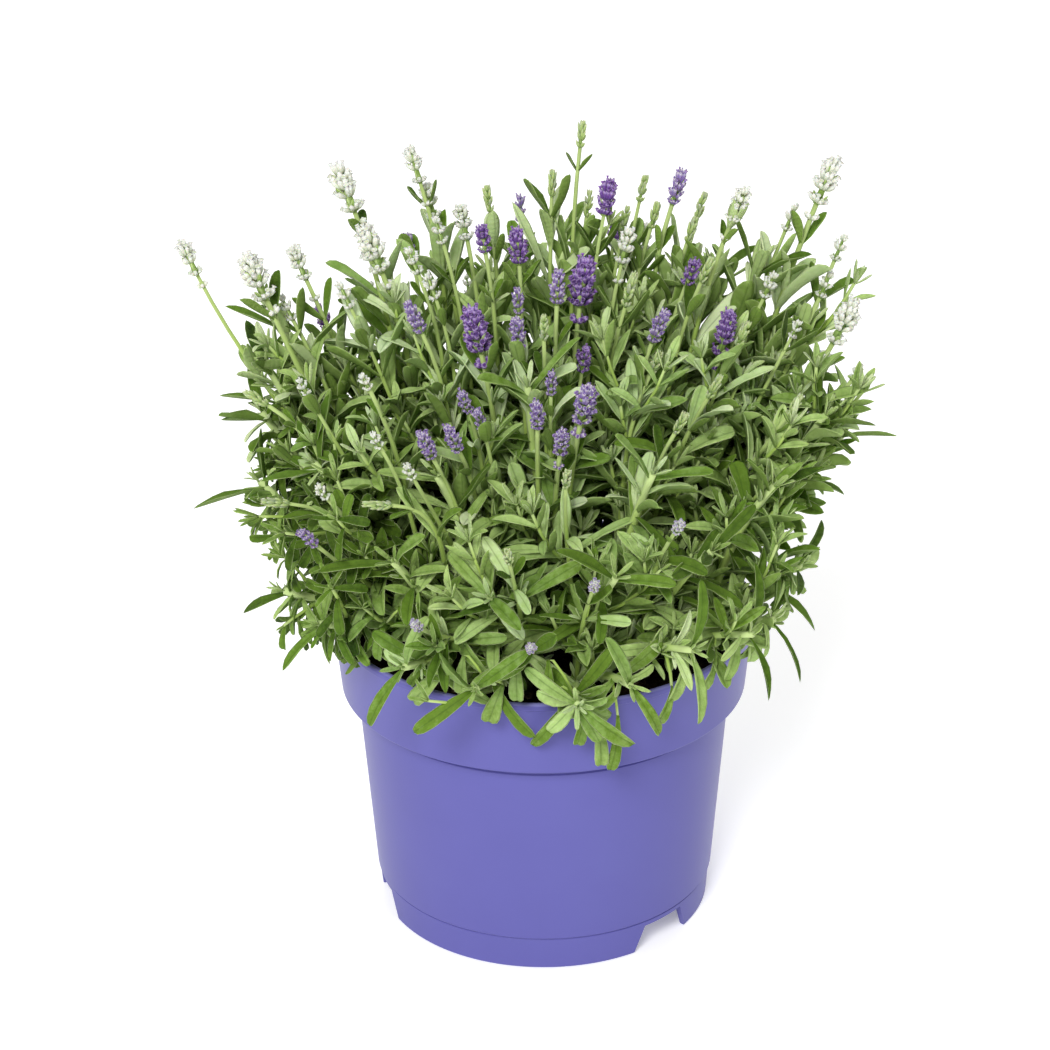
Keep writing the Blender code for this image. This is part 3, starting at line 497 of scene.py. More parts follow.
budHeads = [
    (18, 60, 343, "S"), (5, 50, 324, "S"), (21, 60, 311, "S"), (-23, 50, 317, "S"),
    (45, 60, 318, "S"), (37, 50, 307, "S"), (50, 50, 309, "S"), (71, 60, 310, "S"),
    (66, 42, 305, "S"), (38, 0, 293, "M"), (1, -24, 285, "S"), (48, -30, 271, "S"),
    (71, 10, 298, "S"), (73, -30, 260, "S"), (58, -50, 252, "S"), (86, -10, 276, "S"),
    (-121, -30, 256, "S"), (-112, -60, 221, "S"), (-68, -85, 231, "S"), (10, -80, 240, "S"),
    (56, -95, 226, "S"), (-14, -110, 219, "S"), (21, -115, 209, "S"), (107, -30, 251, "S"),
]
backHeads = {  # behind, hidden in the photograph: an arc of them in degrees, mm out, and mm up
    "count": 12, "first": 18, "sweep": 144, "reach": (88, 122), "top": 318, "topReach": 60, "fall": 0.9,
    "play": 14, "kinds": ("white", "violet", "bud", "white", "deep_purple", "bud", "violet"),
}

turnedHeads = {  # middles of the heads that lean aside, with where they point
    (-121, -30, 256): (-0.75, -0.1, 0.55),
    (-112, -60, 221): (-0.96, -0.15, 0.16),
    (-68, -85, 231): (-0.96, -0.15, 0.10),
    (79, 0, 273): (0.20, 0.0, 0.98),
}
slimHeads = {(79, 0, 273): 0.70, (124, 40, 328): 0.9, (130, 0, 278): 0.9}
greyHeads = ((-52, -115, 191), (-5, -120, 183), (21, -115, 209), (56, -95, 226))
leafCups = {  # heads that stand in broad pale leaves: leaves, mm long, mm wide, mm below the head
    (-23, 50, 317): (2, 16.0, 7.0, 15.0),
    (85, 20, 324): (3, 15.0, 6.0, 4.0),
}

# tips of the leafy stems that show, then rings of (count, reach, height, first and last degrees)
leafyTips = [
    (-122, -20, 213), (-110, -56, 178), (-94, -76, 172), (-122, 2, 236), (-114, 12, 276),
    (-120, 8, 256), (134, 12, 222), (122, -14, 240), (110, -50, 186), (98, -66, 168),
    (88, -80, 168), (14, -112, 152), (-28, -112, 160), (-58, -104, 166), (36, -110, 160),
    (62, -98, 170), (76, 36, 288), (96, 34, 292), (10, 52, 300), (-62, -86, 206),
    (-22, -100, 196), (30, -98, 204), (70, -82, 208), (98, -48, 222), (-96, -44, 232),
    (-44, -58, 232), (46, -66, 236), (-6, -34, 262),
]
backRings = (
    (8, 107.0, 182.0, 20.0, 160.0),
    (6, 106.0, 232.0, 26.0, 154.0),
    (4, 70.0, 272.0, 34.0, 146.0),
)


def polar(angle, reach, height):
    return Vector((reach * math.cos(angle), reach * math.sin(angle), height))


def isAt(place, spot):
    # whether a place is the one that a table names
    return (place - Vector(spot)).length < 1


def flowerPlan():
    # kind, middle and size of every head: those that show, then the hidden ones behind
    named = {"white": whiteHeads, "deep_purple": deepPurpleHeads, "violet": violetHeads, "bud": budHeads}
    found = [(kind, Vector(row[:3]), row[3]) for kind, rows in named.items() for row in rows]
    chance = random.Random(11)
    b = backHeads
    for k in range(b["count"]):
        angle = math.radians(b["first"] + b["sweep"] * (k + 0.5) / b["count"])
        reach = chance.uniform(*b["reach"])
        height = b["top"] - (reach - b["topReach"]) * b["fall"] + chance.uniform(-b["play"], b["play"])
        found.append((b["kinds"][k % len(b["kinds"])], polar(angle, reach, height), "S"))
    return found


def leafyPlan():
    found = [Vector(tip) for tip in leafyTips]
    chance = random.Random(23)
    for count, reach, height, first, last in backRings:
        for k in range(count):
            angle = math.radians(first + (last - first) * k / (count - 1))
            out = reach + chance.uniform(-6, 8)
            found.append(polar(angle, out, height + chance.uniform(-10, 10)))
    return found


def basePlaces():
    # a sunflower spiral of woody bases over the compost
    places = []
    for k in range(plan["baseCount"]):
        reach = plan["baseSpread"] * math.sqrt((k + 0.5) / plan["baseCount"])
        angle = k * math.radians(137.508)  # the golden angle
        places.append((reach * math.cos(angle), reach * math.sin(angle)))
    return places


def curvePoint(path, t):
    a, b, c, d = path
    s = 1 - t
    return a * s**3 + b * (3 * s * s * t) + c * (3 * s * t * t) + d * t**3


def curveDirection(path, t):
    a, b, c, d = path
    s = 1 - t
    return ((b - a) * (s * s) + (c - b) * (2 * s * t) + (d - c) * (t * t)).normalized()


def pathLength(path):
    steps = [curvePoint(path, k / 12) for k in range(13)]
    return sum((b - a).length for a, b in zip(steps, steps[1:]))


def stemFrame(path, t, turn):
    # the stem's direction, with two directions square to it
    flat = path[3] - path[0]
    across = Vector((-flat.y, flat.x, 0)).normalized()
    along = curveDirection(path, t)
    rise = across.cross(along).normalized()
    first = around(along.cross(rise), rise, turn)
    return along, first, along.cross(first)


def stemRing(path, t, turn, grow):
    centre = curvePoint(path, t)
    first, second = stemFrame(path, t, turn)[1:]
    radius = plan["stemLow"] + (plan["stemHigh"] - plan["stemLow"]) * t + grow
    return [centre + (first * a + second * b) * radius for a, b in ((1, 0), (0, 1), (-1, 0), (0, -1))]


def closedRings(rings, tip=None):
    # points and faces of rings of four, closed at the foot, and at the top flat or to a tip
    points = [point for ring in rings for point in ring]
    faces = [(3, 2, 1, 0)]
    last = len(points) - 4
    for a in range(last):
        b = a - a % 4 + (a + 1) % 4
        faces += [(a, b, b + 4), (a, b + 4, a + 4)]
    if tip is None:
        return points, faces + [(last, last + 1, last + 2, last + 3)]
    faces += [(last + j, last + (j + 1) % 4, last + 4) for j in range(4)]
    return points + [tip], faces


def stemSolid(path, turn, stations, grow):
    # the solid's own rings, to test what a stem would cross
    shares = set(plan["leafyRings"] if stations else plan["bareRings"])
    thick = plan["nodeLength"] / (path[3] - path[0]).length
    for station in stations:
        shares = {t for t in shares if not (abs(t - station) < 0.08 and 0 < t < 1)}
        shares |= {station, station + thick}
    return closedRings([stemRing(path, t, turn, grow) for t in sorted(shares)])


def frameAlong(direction):
    side = direction.cross(up)
    if side.length < 0.1:
        side = direction.cross(Vector((0, 1, 0)))
    side.normalize()
    return side, side.cross(direction).normalized()


def headSolid(base, along, size, grow):
    # the solid's head: rings of points that stand out and in by turns, the outer ones a little higher
    length, radius, rings, florets = plan["heads"][size]
    side, rise = frameAlong(along)
    spacing = length / (rings + 0.6)
    points = []
    for k in range(rings + 1):
        for j in range(florets):
            outer = (j + k) % 2 == 0
            reach = (radius + grow) * plan["swells"][k] * (1.0 if outer else 0.66)
            lift = spacing * k + (spacing * 0.22 if outer and k else 0.0)
            points.append(base + along * lift + around(side, rise, fullTurn * j / florets + 0.3) * reach)
    tip = len(points)
    points.append(base + along * (length + grow))
    faces = [tuple(reversed(range(florets)))]
    for k in range(rings):
        for j in range(florets):
            a = k * florets + j
            b = k * florets + (j + 1) % florets
            if (j + k) % 2 == 0:
                faces += [(a, b, a + florets), (b, b + florets, a + florets)]
            else:
                faces += [(a, b, b + florets), (a, b + florets, a + florets)]
    faces += [(rings * florets + j, rings * florets + (j + 1) % florets, tip) for j in range(florets)]
    return points, faces


def leafSolid(joint, side, along, length, width, bend, long, grow):
    # the solid's blade, to test where a leaf can lie
    face = along.cross(side)
    root = joint + along * 1.5
    left, right, thin = root - side, root + side, 0.4
    rings = [[left - face * thin, right - face * thin, right + face * thin, left + face * thin]]
    half = width / 2 + grow
    thick = thin + grow
    for t, part in ((0.42, 0.85), (0.74, 1.0)) if long else ((0.58, 1.0),):
        centre = joint + along * (length * t) - face * (bend * t * t * length)
        left, right = centre - side * half * part, centre + side * half * part
        rings.append([left - face * thick, right - face * thick, right + face * thick, left + face * thick])
    return closedRings(rings, joint + along * (length + grow) - face * (bend * length))


placed = []


def boxOf(points):
    return [[pick(p[i] for p in points) for i in range(3)] for pick in (min, max)]


def addSolid(shape, bunch=None, stem=None):
    points, faces = shape
    placed.append((bunch, stem, boxOf(points), BVHTree.FromPolygons(points, faces)))


def isFree(shape, bunch=-1, stem=-1):
    # whether it crosses nothing but the stems of its own bunch, or its own stem
    points, faces = shape
    low, high = boxOf(points)
    tree = None
    for otherBunch, otherStem, (otherLow, otherHigh), otherTree in placed:
        if otherBunch == bunch or otherStem == stem:
            continue
        if any(low[i] > otherHigh[i] or high[i] < otherLow[i] for i in range(3)):
            continue
        if tree is None:
            tree = BVHTree.FromPolygons(points, faces)
        if tree.overlap(otherTree):
            return False
    return True


def nearestBase(tip, bases, counts):
    # each stem that a base has already counts as 3 mm more
    x, y = tip.x * plan["basePull"], tip.y * plan["basePull"]
    free = [k for k in range(len(bases)) if counts[k] < plan["mostStems"]]
    return min(free, key=lambda k: math.hypot(x - bases[k][0], y - bases[k][1]) + 3.0 * counts[k])


def tipDirection(tip):
    # the lower a tip, the further its stem leans out
    flat = Vector((tip.x, tip.y, 0))
    out = flat / max(flat.length, plan["leanReach"])
    rise = (tip.z - plan["leanHeight"]) / plan["leanRise"]
    return (out + up * min(max(rise, 0.0), plan["steepest"])).normalized()


def stray(chance):
    return Vector((chance.uniform(-1, 1), chance.uniform(-1, 1), chance.uniform(-0.3, 1)))


def stemPath(base, tip, spread, chance):
    # leaves its base almost upright, arrives as its tip points, and strays between by the spread
    x, y = base
    start = Vector((x, y, plan["soilTop"] + plan["baseRise"] - plan["sunk"]))
    flat = Vector((tip.x - x, tip.y - y, 0))
    start += flat / max(flat.length, 20.0) * plan["aside"]
    reach = (tip - start).length
    leave = (up + flat / max(flat.length, 30.0) * plan["leaveLean"]).normalized()
    strays = [stray(chance) * spread, stray(chance) * spread]
    first = start + leave * reach * plan["holds"][0] + strays[0]
    second = tip - tipDirection(tip) * reach * plan["holds"][1] + strays[1]
    return start, first, second, tip


def baseSolid(place):
    low, high = plan["soilTop"] - plan["baseDepth"], plan["soilTop"] + plan["baseRise"]
    x, y = place
    points = []
    for height, radius in ((low, plan["baseRadius"]), (high, plan["baseTopRadius"])):
        for k in range(5):
            angle = fullTurn * k / 5
            points.append(Vector((x + radius * math.cos(angle), y + radius * math.sin(angle), height)))
    faces = [(4, 3, 2, 1, 0), (5, 6, 7, 8, 9)] + [(k, (k + 1) % 5, 5 + (k + 1) % 5, 5 + k) for k in range(5)]
    return points, faces


def placeStems(bases):
    # every stem with its flower head, each bent clear of those before it
    chance = random.Random(5)
    counts = [0] * len(bases)
    stems = []
    blooms = 0
    room = plan["clearance"]
    for kind, middle, size in flowerPlan() + [("leafy", tip, None) for tip in leafyPlan()]:
        base = nearestBase(middle, bases, counts)
        along = tipDirection(middle)
        apart = kind in ("white", "deep_purple", "violet") and size in ("M", "L")
        end = middle - along * plan["heads"][size][0] / 2 if size else middle
        turn = chance.uniform(0, math.pi)
        stations = plan["leafyStations"] if kind == "leafy" else ()
        if kind != "leafy" and len(stems) % plan["stalksWithLeaves"] == 0:
            stations = plan["stalkStations"]
        for attempt in range(40):
            path = stemPath(bases[base], end, 2.0 + attempt * 0.6, chance)
            if not isFree(stemSolid(path, turn, stations, room), bunch=base):
                continue
            if not size or isFree(headSolid(end, along, size, room)):
                break
        else:
            continue
        counts[base] += 1
        if apart:
            path = path[:3] + (end - along * plan["gap"],)
            blooms += 1
        addSolid(stemSolid(path, turn, stations, 0.0), base, len(stems))
        stems.append({
            "kind": kind, "base": base, "path": path, "turn": turn, "stations": stations, "size": size,
            "node": f"bloom_{kind}_{blooms:02d}" if apart else None,
            "end": end, "along": along, "leaves": []})
        if size:
            addSolid(headSolid(end, along, size, 0.0))
    return stems


def placeSolidLeaves(stems):
    # the leaves that the solids have, in opposite pairs, each pair square to the one below
    chance = random.Random(17)
    for number, stem in sorted(enumerate(stems), key=lambda pair: (pair[1]["base"], pair[0])):
        for k, t in enumerate(stem["stations"]):
            high = t > 0.9
            for face in (k % 2, k % 2 + 2):
                joint = curvePoint(stem["path"], t)
                along, first, second = stemFrame(stem["path"], t, stem["turn"])
                out = around(first, second, math.pi / 2 * face + math.pi / 4)
                side = along.cross(out)
                length = chance.uniform(*plan["leafLength"])
                width = chance.uniform(*plan["leafWidth"])
                for attempt in range(10):
                    lean = math.radians(chance.uniform(*((30, 56) if high else (44, 74))))
                    swing = chance.uniform(-0.06, 0.06) * attempt
                    blade = (around(along, out, lean) + side * swing).normalized()
                    bend = chance.uniform(0.04, 0.22)
                    form = (joint, squared(side, blade), blade, length, width)
                    if isFree(leafSolid(*form, bend, high, plan["clearance"]), stem=number):
                        addSolid(leafSolid(*form, bend, high, 0.0), stem=number)
                        stem["leaves"].append((*form, bend * 2))
                        break


def headMiddle(stem):
    return stem["end"] + stem["along"] * plan["heads"][stem["size"]][0] / 2


def finishStems(stems):
    # what scene.py alone changes: the grey, the slim and the turned heads
    for stem in stems:
        stem["look"] = stem["kind"]
        if not stem["size"]:
            continue
        middle = headMiddle(stem)
        if any(isAt(middle, place) for place in greyHeads):
            stem["look"] = "grey"
        stem["slim"] = min([slim for place, slim in slimHeads.items() if isAt(middle, place)] + [1.0])
        for aim in [aim for place, aim in turnedHeads.items() if isAt(middle, place)]:
            along = Vector(aim).normalized()
            start, first = stem["path"][:2]
            end = middle - along * plan["heads"][stem["size"]][0] / 2
            stem["path"] = (start, first, end - along * (end - start).length * 0.3, end)
            stem["along"], stem["end"] = along, end


# Templates of what repeats, each a few dozen faces

def standingTube(sides, rings):
    # a closed tube one unit long and two wide, with that many rings
    bm = bmesh.new()
    bm.loops.layers.uv.new("growth")
    bmesh.ops.create_cone(bm, cap_ends=True, cap_tris=False, segments=sides, radius1=1, radius2=1, depth=1)
    bmesh.ops.translate(bm, vec=(0, 0, 0.5), verts=bm.verts)
    lengthwise = [e for e in bm.edges if abs(e.verts[0].co.z - e.verts[1].co.z) > 0.5]
    bmesh.ops.subdivide_edges(bm, edges=lengthwise, cuts=rings - 2, use_grid_fill=True)
    return bm


def mapRound(bm, heights):
    # the growth map of a round piece: once round it, and up it by each vertex's height
    uv = bm.loops.layers.uv["growth"]
    for face in bm.faces:
        centre = face.calc_center_median()
        middle = math.atan2(centre.y, centre.x)
        for loop in face.loops:
            spot = loop.vert.co
            angle = math.atan2(spot.y, spot.x) if spot.xy.length > 0.01 else middle
            angle = middle + (angle - middle + math.pi) % fullTurn - math.pi
            loop[uv].uv = (angle / fullTurn + 0.5, heights[loop.vert])


def finishTemplate(name, bm):
    bmesh.ops.recalc_face_normals(bm, faces=bm.faces)
    return toMesh(name, bm)


def tubeTemplate(name, sides, shares):
    # a tube with a ring at each share of its length
    bm = standingTube(sides, len(shares))
    for vertex in bm.verts:
        vertex.co.z = shares[round(vertex.co.z * (len(shares) - 1))]
    mapRound(bm, {vertex: vertex.co.z for vertex in bm.verts})
    return finishTemplate(name, bm)


def bladeTemplate(name, sides, outline):
    # a leaf from rows of (height, half width): margins rolled down, groove above, rib below
    bm = standingTube(sides, len(outline))
    uv = bm.loops.layers.uv["growth"]
    for vertex in bm.verts:
        t, width = outline[round(vertex.co.z * (len(outline) - 1))]
        x, y = vertex.co.x, vertex.co.y
        if abs(x) > 0.99:
            place = (math.copysign(1, x), -0.12)
        elif abs(x) > 0.01:
            place = (math.copysign(0.66, x), 0.11 if y > 0 else -0.04)
        else:
            place = (0, -0.13 if y > 0 else -0.32)
        vertex.co = (place[0] * width, place[1] * width, t)
    for face in bm.faces:
        if sides == 8:
            under = face.normal.y < 0  # still the tube's own normal
        else:
            under = face.calc_center_median().y < -0.11 * max(abs(v.co.x) for v in face.verts) - 0.005
        for loop in face.loops:
            width = max(abs(v.co.x) for v in bm.verts if abs(v.co.z - loop.vert.co.z) < 0.001) or 1.0
            across = max(-0.98, min(0.98, loop.vert.co.x / width))
            loop[uv].uv = (under + 0.5 + across / 2, loop.vert.co.z)
    tip = [v for v in bm.verts if v.co.z > 0.999]
    bmesh.ops.pointmerge(bm, verts=tip, merge_co=(0, 0, 1))
    return finishTemplate(name, bm)


def budTemplate(name, profile, segments, teeth, lobes):
    # a body on its base, one unit long and two wide: rings of (height, radius, share along), of
    # which the one with the largest share below 0.9 is the rim, drawn out into teeth or lobes
    bm = bmesh.new()
    bm.loops.layers.uv.new("growth")
    rings = len(profile) - 1
    bmesh.ops.create_uvsphere(bm, u_segments=segments, v_segments=rings, radius=1)
    rim = max(range(len(profile)), key=lambda k: profile[k][2] if profile[k][2] < 0.9 else 0)
    heights = {}
    for vertex in bm.verts:
        ring = round((math.acos(max(-1, min(1, -vertex.co.z))) / math.pi) * rings)
        z, r, heights[vertex] = profile[ring]
        angle = math.atan2(vertex.co.y, vertex.co.x)
        wave = math.cos(angle * segments / 2) if ring == rim and r > 0 else 0.0
        flare = 1 + lobes * wave
        vertex.co = (math.cos(angle) * r * flare, math.sin(angle) * r * flare, z + teeth * wave)
    mapRound(bm, heights)
    return finishTemplate(name, bm)


templates = {
    "stem": tubeTemplate("stem", 8, [k / 14 for k in range(15)]),
    "short": tubeTemplate("short", 6, [0.0, 0.33, 0.66, 1.0]),
    "lance": bladeTemplate("lance", 8, [
        (0.0, 0.28), (0.15, 0.48), (0.35, 0.82), (0.54, 0.99), (0.70, 0.95), (0.84, 0.70),
        (0.94, 0.36), (1.0, 0.02)]),
    "leaf": bladeTemplate("leaf", 8, [
        (0.0, 0.30), (0.14, 0.46), (0.32, 0.78), (0.52, 0.96), (0.72, 1.0), (0.87, 0.84),
        (0.96, 0.50), (1.0, 0.03)]),
    "blunt": bladeTemplate("blunt", 8, [
        (0.0, 0.26), (0.14, 0.38), (0.34, 0.66), (0.56, 0.90), (0.77, 1.0), (0.91, 0.88),
        (0.98, 0.55), (1.0, 0.05)]),
    "strap": bladeTemplate("strap", 8, [
        (0.0, 0.40), (0.12, 0.58), (0.30, 0.86), (0.55, 1.0), (0.78, 0.98), (0.92, 0.78),
        (0.985, 0.44), (1.0, 0.04)]),
    "small": bladeTemplate("small", 6, [(0.0, 0.34), (0.3, 0.75), (0.62, 1.0), (0.88, 0.72), (1.0, 0.04)]),
    "calyx": budTemplate("calyx", [
        (0.0, 0, 0), (0.14, 0.62, 0.12), (0.42, 0.98, 0.4), (0.66, 0.92, 0.65), (0.82, 0.80, 0.86),
        (0.80, 0.56, 0.92), (0.94, 0.38, 0.97), (1.0, 0, 1.0)], 8, 0.07, 0.12),
    "bud": budTemplate("bud", [
        (0.0, 0, 0), (0.16, 0.7, 0.15), (0.48, 1.0, 0.45), (0.80, 0.62, 0.7), (1.0, 0, 0.88)], 6, 0.0, 0.0),
    "flower": budTemplate("flower", [
        (0.0, 0, 0), (0.05, 0.34, 0.05), (0.5, 0.42, 0.4), (0.78, 0.78, 0.65), (0.9, 1.0, 0.86),
        (0.76, 0.62, 0.95), (0.5, 0.0, 1.0)], 10, 0.10, 0.20),
}


# Leaves and stems

def addLeaf(bm, form, kind, tone, twist=0.0, finish=0):
    # a blade that bends evenly through the given angle as it leaves its joint
    joint, side, along, length, width, bend = form
    face = along.cross(side)
    half = width / 2
    wave = 0.16 * math.sin(twist * 40)
    fold = 0.28 + 0.42 * abs(math.sin(twist * 23))  # how far its halves stand up

    def place(co):
        angle = bend * co.z
        if abs(bend) > 0.01:
            centre = along * (math.sin(angle) / bend) - face * ((1 - math.cos(angle)) / bend)
        else:
            centre = along * co.z
        lift = around(face, along, angle)
        roll = twist * co.z
        ripple = co.y + fold * abs(co.x) + wave * co.x * math.sin(co.z * 9)
        return (joint + centre * length + around(side, lift, roll) * (co.x * half)
                + around(lift, -side, roll) * (ripple * half))

    addCopy(bm, templates[kind], place, tone, finish)


def addStem(bm, path, turn, radii, tone, kind="stem"):
    # a square stem with hollow faces, thinner towards its tip
    rings = {}

    def place(co):
        key = round(co.z, 4)
        if key not in rings:
            radius = radii[0] + (radii[1] - radii[0]) * co.z
            rings[key] = (curvePoint(path, co.z), *stemFrame(path, co.z, turn)[1:], radius)
        centre, first, second, radius = rings[key]
        corner = 1.0 if abs(abs(co.x) - abs(co.y)) > 0.5 else 0.80
        return centre + (first * co.x + second * co.y) * radius * corner

    addCopy(bm, templates[kind], place, tone, 1)


def formAt(joint, along, out, blade, length, width, bend):
    # a leaf's form, with its upper face turned to the stem
    return joint, squared(along.cross(out), blade), blade, length, width, bend


foliage = {
    "nodeStep": 13.4,       # mm between leaf pairs
    "bare": (12.0, 52.0),   # mm of bare stalk under a flower head
    "low": 14.0,            # mm of bare stem above the base
    "length": (23.0, 38.0), "width": (5.8, 8.3),
    "tuft": (7.0, 15.0),    # lengths of the small leaves in the axils
    "tuftShare": 0.46, "shootShare": 0.25,
    "shoot": (16.0, 44.0),  # lengths of the side shoots
    "apart": 6.0,           # mm kept free round a flower head
    "nextToSolid": 4.5,     # and next to the solids' own leaf pairs
    "spread": 113.0, "widens": 0.34,  # furthest reach at 140 mm up, and how it grows with height
    "leftwards": 12.0,      # how much further it goes at the left
    "overRim": 2.5, "overSoil": 3.0, "inside": 82.0, "lowest": 96.0,  # kept clear of the pot
    "farLeft": -140.0,      # heads beyond this stand on a long bare stalk
    # degrees that leaves, shoots, their leaves and the tufts lean off their stem
    "lean": (36, 72), "shootLean": (24, 50), "shootLeafLean": (35, 64), "tuftLean": (10, 40),
    "shootLeaf": (17, 27), "shootLeafWidth": (0.24, 0.31), "tuftWidth": (0.24, 0.32),  # mm; width to length
}

tones = {  # from 0, the darkest leaf colour, to 1, the palest
    "solid": 0.44, "leaf": 0.47, "shoot": 0.52, "tuft": 0.78, "crown": 0.80, "rosette": 0.42,
    "finger": 0.46, "bract": 0.75, "highPair": 0.20, "cup": 0.95,
}

zones = {  # mm where each part of the dome begins and where it is full
    "low": (205, 155), "outer": (66, 96), "high": (190, 260),
    "left": (-40, -100), "right": (50, 110), "front": (-55, -85),
    "darkLeft": (-25, -85), "darkRight": (40, 100), "darkAside": (40, 90), "paleTop": (200, 265),
    "hangLeft": (-40, -95), "hangLow": (228, 200), "hangOut": (78, 98),
    "pairAside": (40, 100), "pairLow": (225, 175), "pairFront": (-70, -100),
}


def zone(name, value):
    return share(value, *zones[name])


def lowOutside(p):
    return zone("low", p.z) * zone("outer", reachOf(p))


def drooping(p):
    # how far the leaves hang: those low at the left do
    return zone("hangLeft", p.x) * zone("hangLow", p.z) * zone("hangOut", reachOf(p))


def paintedShadeAndLight(p):
    # painted shade and light: how much darker the leaves are at the left, the right and the front, where they
    # lie in shade (at the low left also older, darker leaves), and how much paler on top, where the light
    # falls
    high = zone("paleTop", p.z)
    sides = 0.36 * zone("darkLeft", p.x) * (1 + 0.2 * lowOutside(p)) + 0.18 * zone("darkRight", p.x)
    front = 0.09 * zone("front", p.y)
    return (sides + front) * (1 - high) - 0.16 * high * zone("darkAside", abs(p.x)) - 0.08 * high


def inPot(p):
    # whether a place is too near the compost, the wall and its lip, or under the rim
    reach = reachOf(p)
    if reach <= foliage["inside"]:
        return p.z < plan["soilTop"] + foliage["overSoil"]
    nearWall = reach < potPlan["rimRadius"] + foliage["overRim"]
    return p.z < foliage["lowest"] or (nearWall and p.z < potPlan["height"] + foliage["overRim"])


def clearOfPot(points):
    return not any(inPot(p) for p in points)


def insideBox(points):
    # inside the solids' box, and not much further out than the dome
    low, high = cadBox
    for p in points:
        reach = foliage["spread"] + foliage["widens"] * (p.z - 140)
        reach += foliage["leftwards"] * share(-p.x, 0, 100)
        if reachOf(p) > reach and (p.y > -60 or abs(p.x) > 75):
            return False
    return all(low[i] / mm + 1 < p[i] < high[i] / mm - 1 for p in points for i in range(3))


def isOpen(points, heads):
    near = foliage["apart"]
    return clearOfPot(points) and insideBox(points) and not any(heads.find_range(p, near) for p in points)


def beforeCompost(p):
    # in the line of sight to the open compost at the front left
    return -90 < p.x < -28 and p.y < -62 and p.z < 140 - 0.5 * (p.y + 62)


def leafCentre(form, t):
    joint, side, along, length = form[:4]
    bend = form[5]
    angle = bend * t
    if abs(bend) < 0.01:
        return joint + along * length * t
    return joint + (along * math.sin(angle) - along.cross(side) * (1 - math.cos(angle))) * (length / bend)


def freeLeaf(form, heads):
    points = [leafCentre(form, t) for t in (0.35, 0.7, 1.0)]
    return isOpen(points, heads) and not beforeCompost(points[1])


def zonesAt(p):
    # how far a place is high, at the right, in front, at either side, and among the hanging leaves
    high, right = zone("high", p.z), zone("right", p.x)
    sides = max(zone("left", p.x), right) * (1 - high)
    return high, right, zone("front", p.y) * (1 - high), sides, drooping(p)


def addSolidsPairs(bm, stem, stemTone, chance):
    # the leaves that the solids have too, narrower and bent further at the low sides, and darker at the sides
    # with painted shade
    for joint, side, blade, size, width, bend in stem["leaves"]:
        edge = zone("pairAside", abs(joint.x))
        low = zone("pairLow", joint.z)
        front = zone("pairFront", joint.y) * low
        form = (joint, side, blade, size, width * (1 - 0.25 * edge * low), bend + 0.5 * low + 0.5 * front)
        # painted shade: the leaves at the sides are darker
        tone = tones["solid"] - 0.22 * edge + stemTone + chance.uniform(-0.15, 0.15)
        addLeaf(bm, form, "lance" if edge > 0.5 else "leaf", tone, chance.uniform(-0.4, 0.4))


def addFreeLeaf(bm, joint, along, out, youth, fromEnd, heads, chance, stemTone):
    # one leaf of a pair: young ones are short, steep and pale; it is lifted until it lies free
    high, right, front, sides, hang = zonesAt(joint)
    low = lowOutside(joint)
    size = chance.uniform(*foliage["length"]) * (1 - 0.45 * youth) * (1 - 0.15 * fromEnd) * (1 + 0.12 * high)
    width = chance.uniform(*foliage["width"]) * (1 - 0.35 * youth) * (1 + 0.1 * high)
    bend = (chance.uniform(-0.3, 1.3) + chance.uniform(0.3, 1.2) * low) * (1 - 0.4 * high) + 0.6 * hang
    width *= (1 - 0.36 * hang) * (1 + 0.18 * sides + 0.10 * right) * (1 - 0.10 * front)
    size *= (1 - 0.25 * hang) * (1 + 0.08 * sides) * (1 - 0.08 * front)
    for attempt in range(6):
        lean = math.radians(chance.uniform(*foliage["lean"]) - 26 * youth - 16 * high - 8 * right)
        rise = 0.12 * attempt + 0.12 - 0.4 * low - 0.9 * hang
        blade = (around(along, out, lean) + up * rise + out * 0.05 * attempt).normalized()
        form = formAt(joint, along, out, blade, size * (1 - 0.08 * attempt), width, bend)
        if freeLeaf(form, heads):
            # painted shade at the sides and front, painted light on top
            tone = tones["leaf"] - paintedShadeAndLight(joint) + stemTone + chance.uniform(-0.30, 0.34) + 0.4 * youth
            kinds = ("blunt", "strap") if hang > 0.5 else ("lance", "leaf", "leaf", "blunt")
            addLeaf(bm, form, chance.choice(kinds), tone, chance.uniform(-0.8, 0.8))
            return


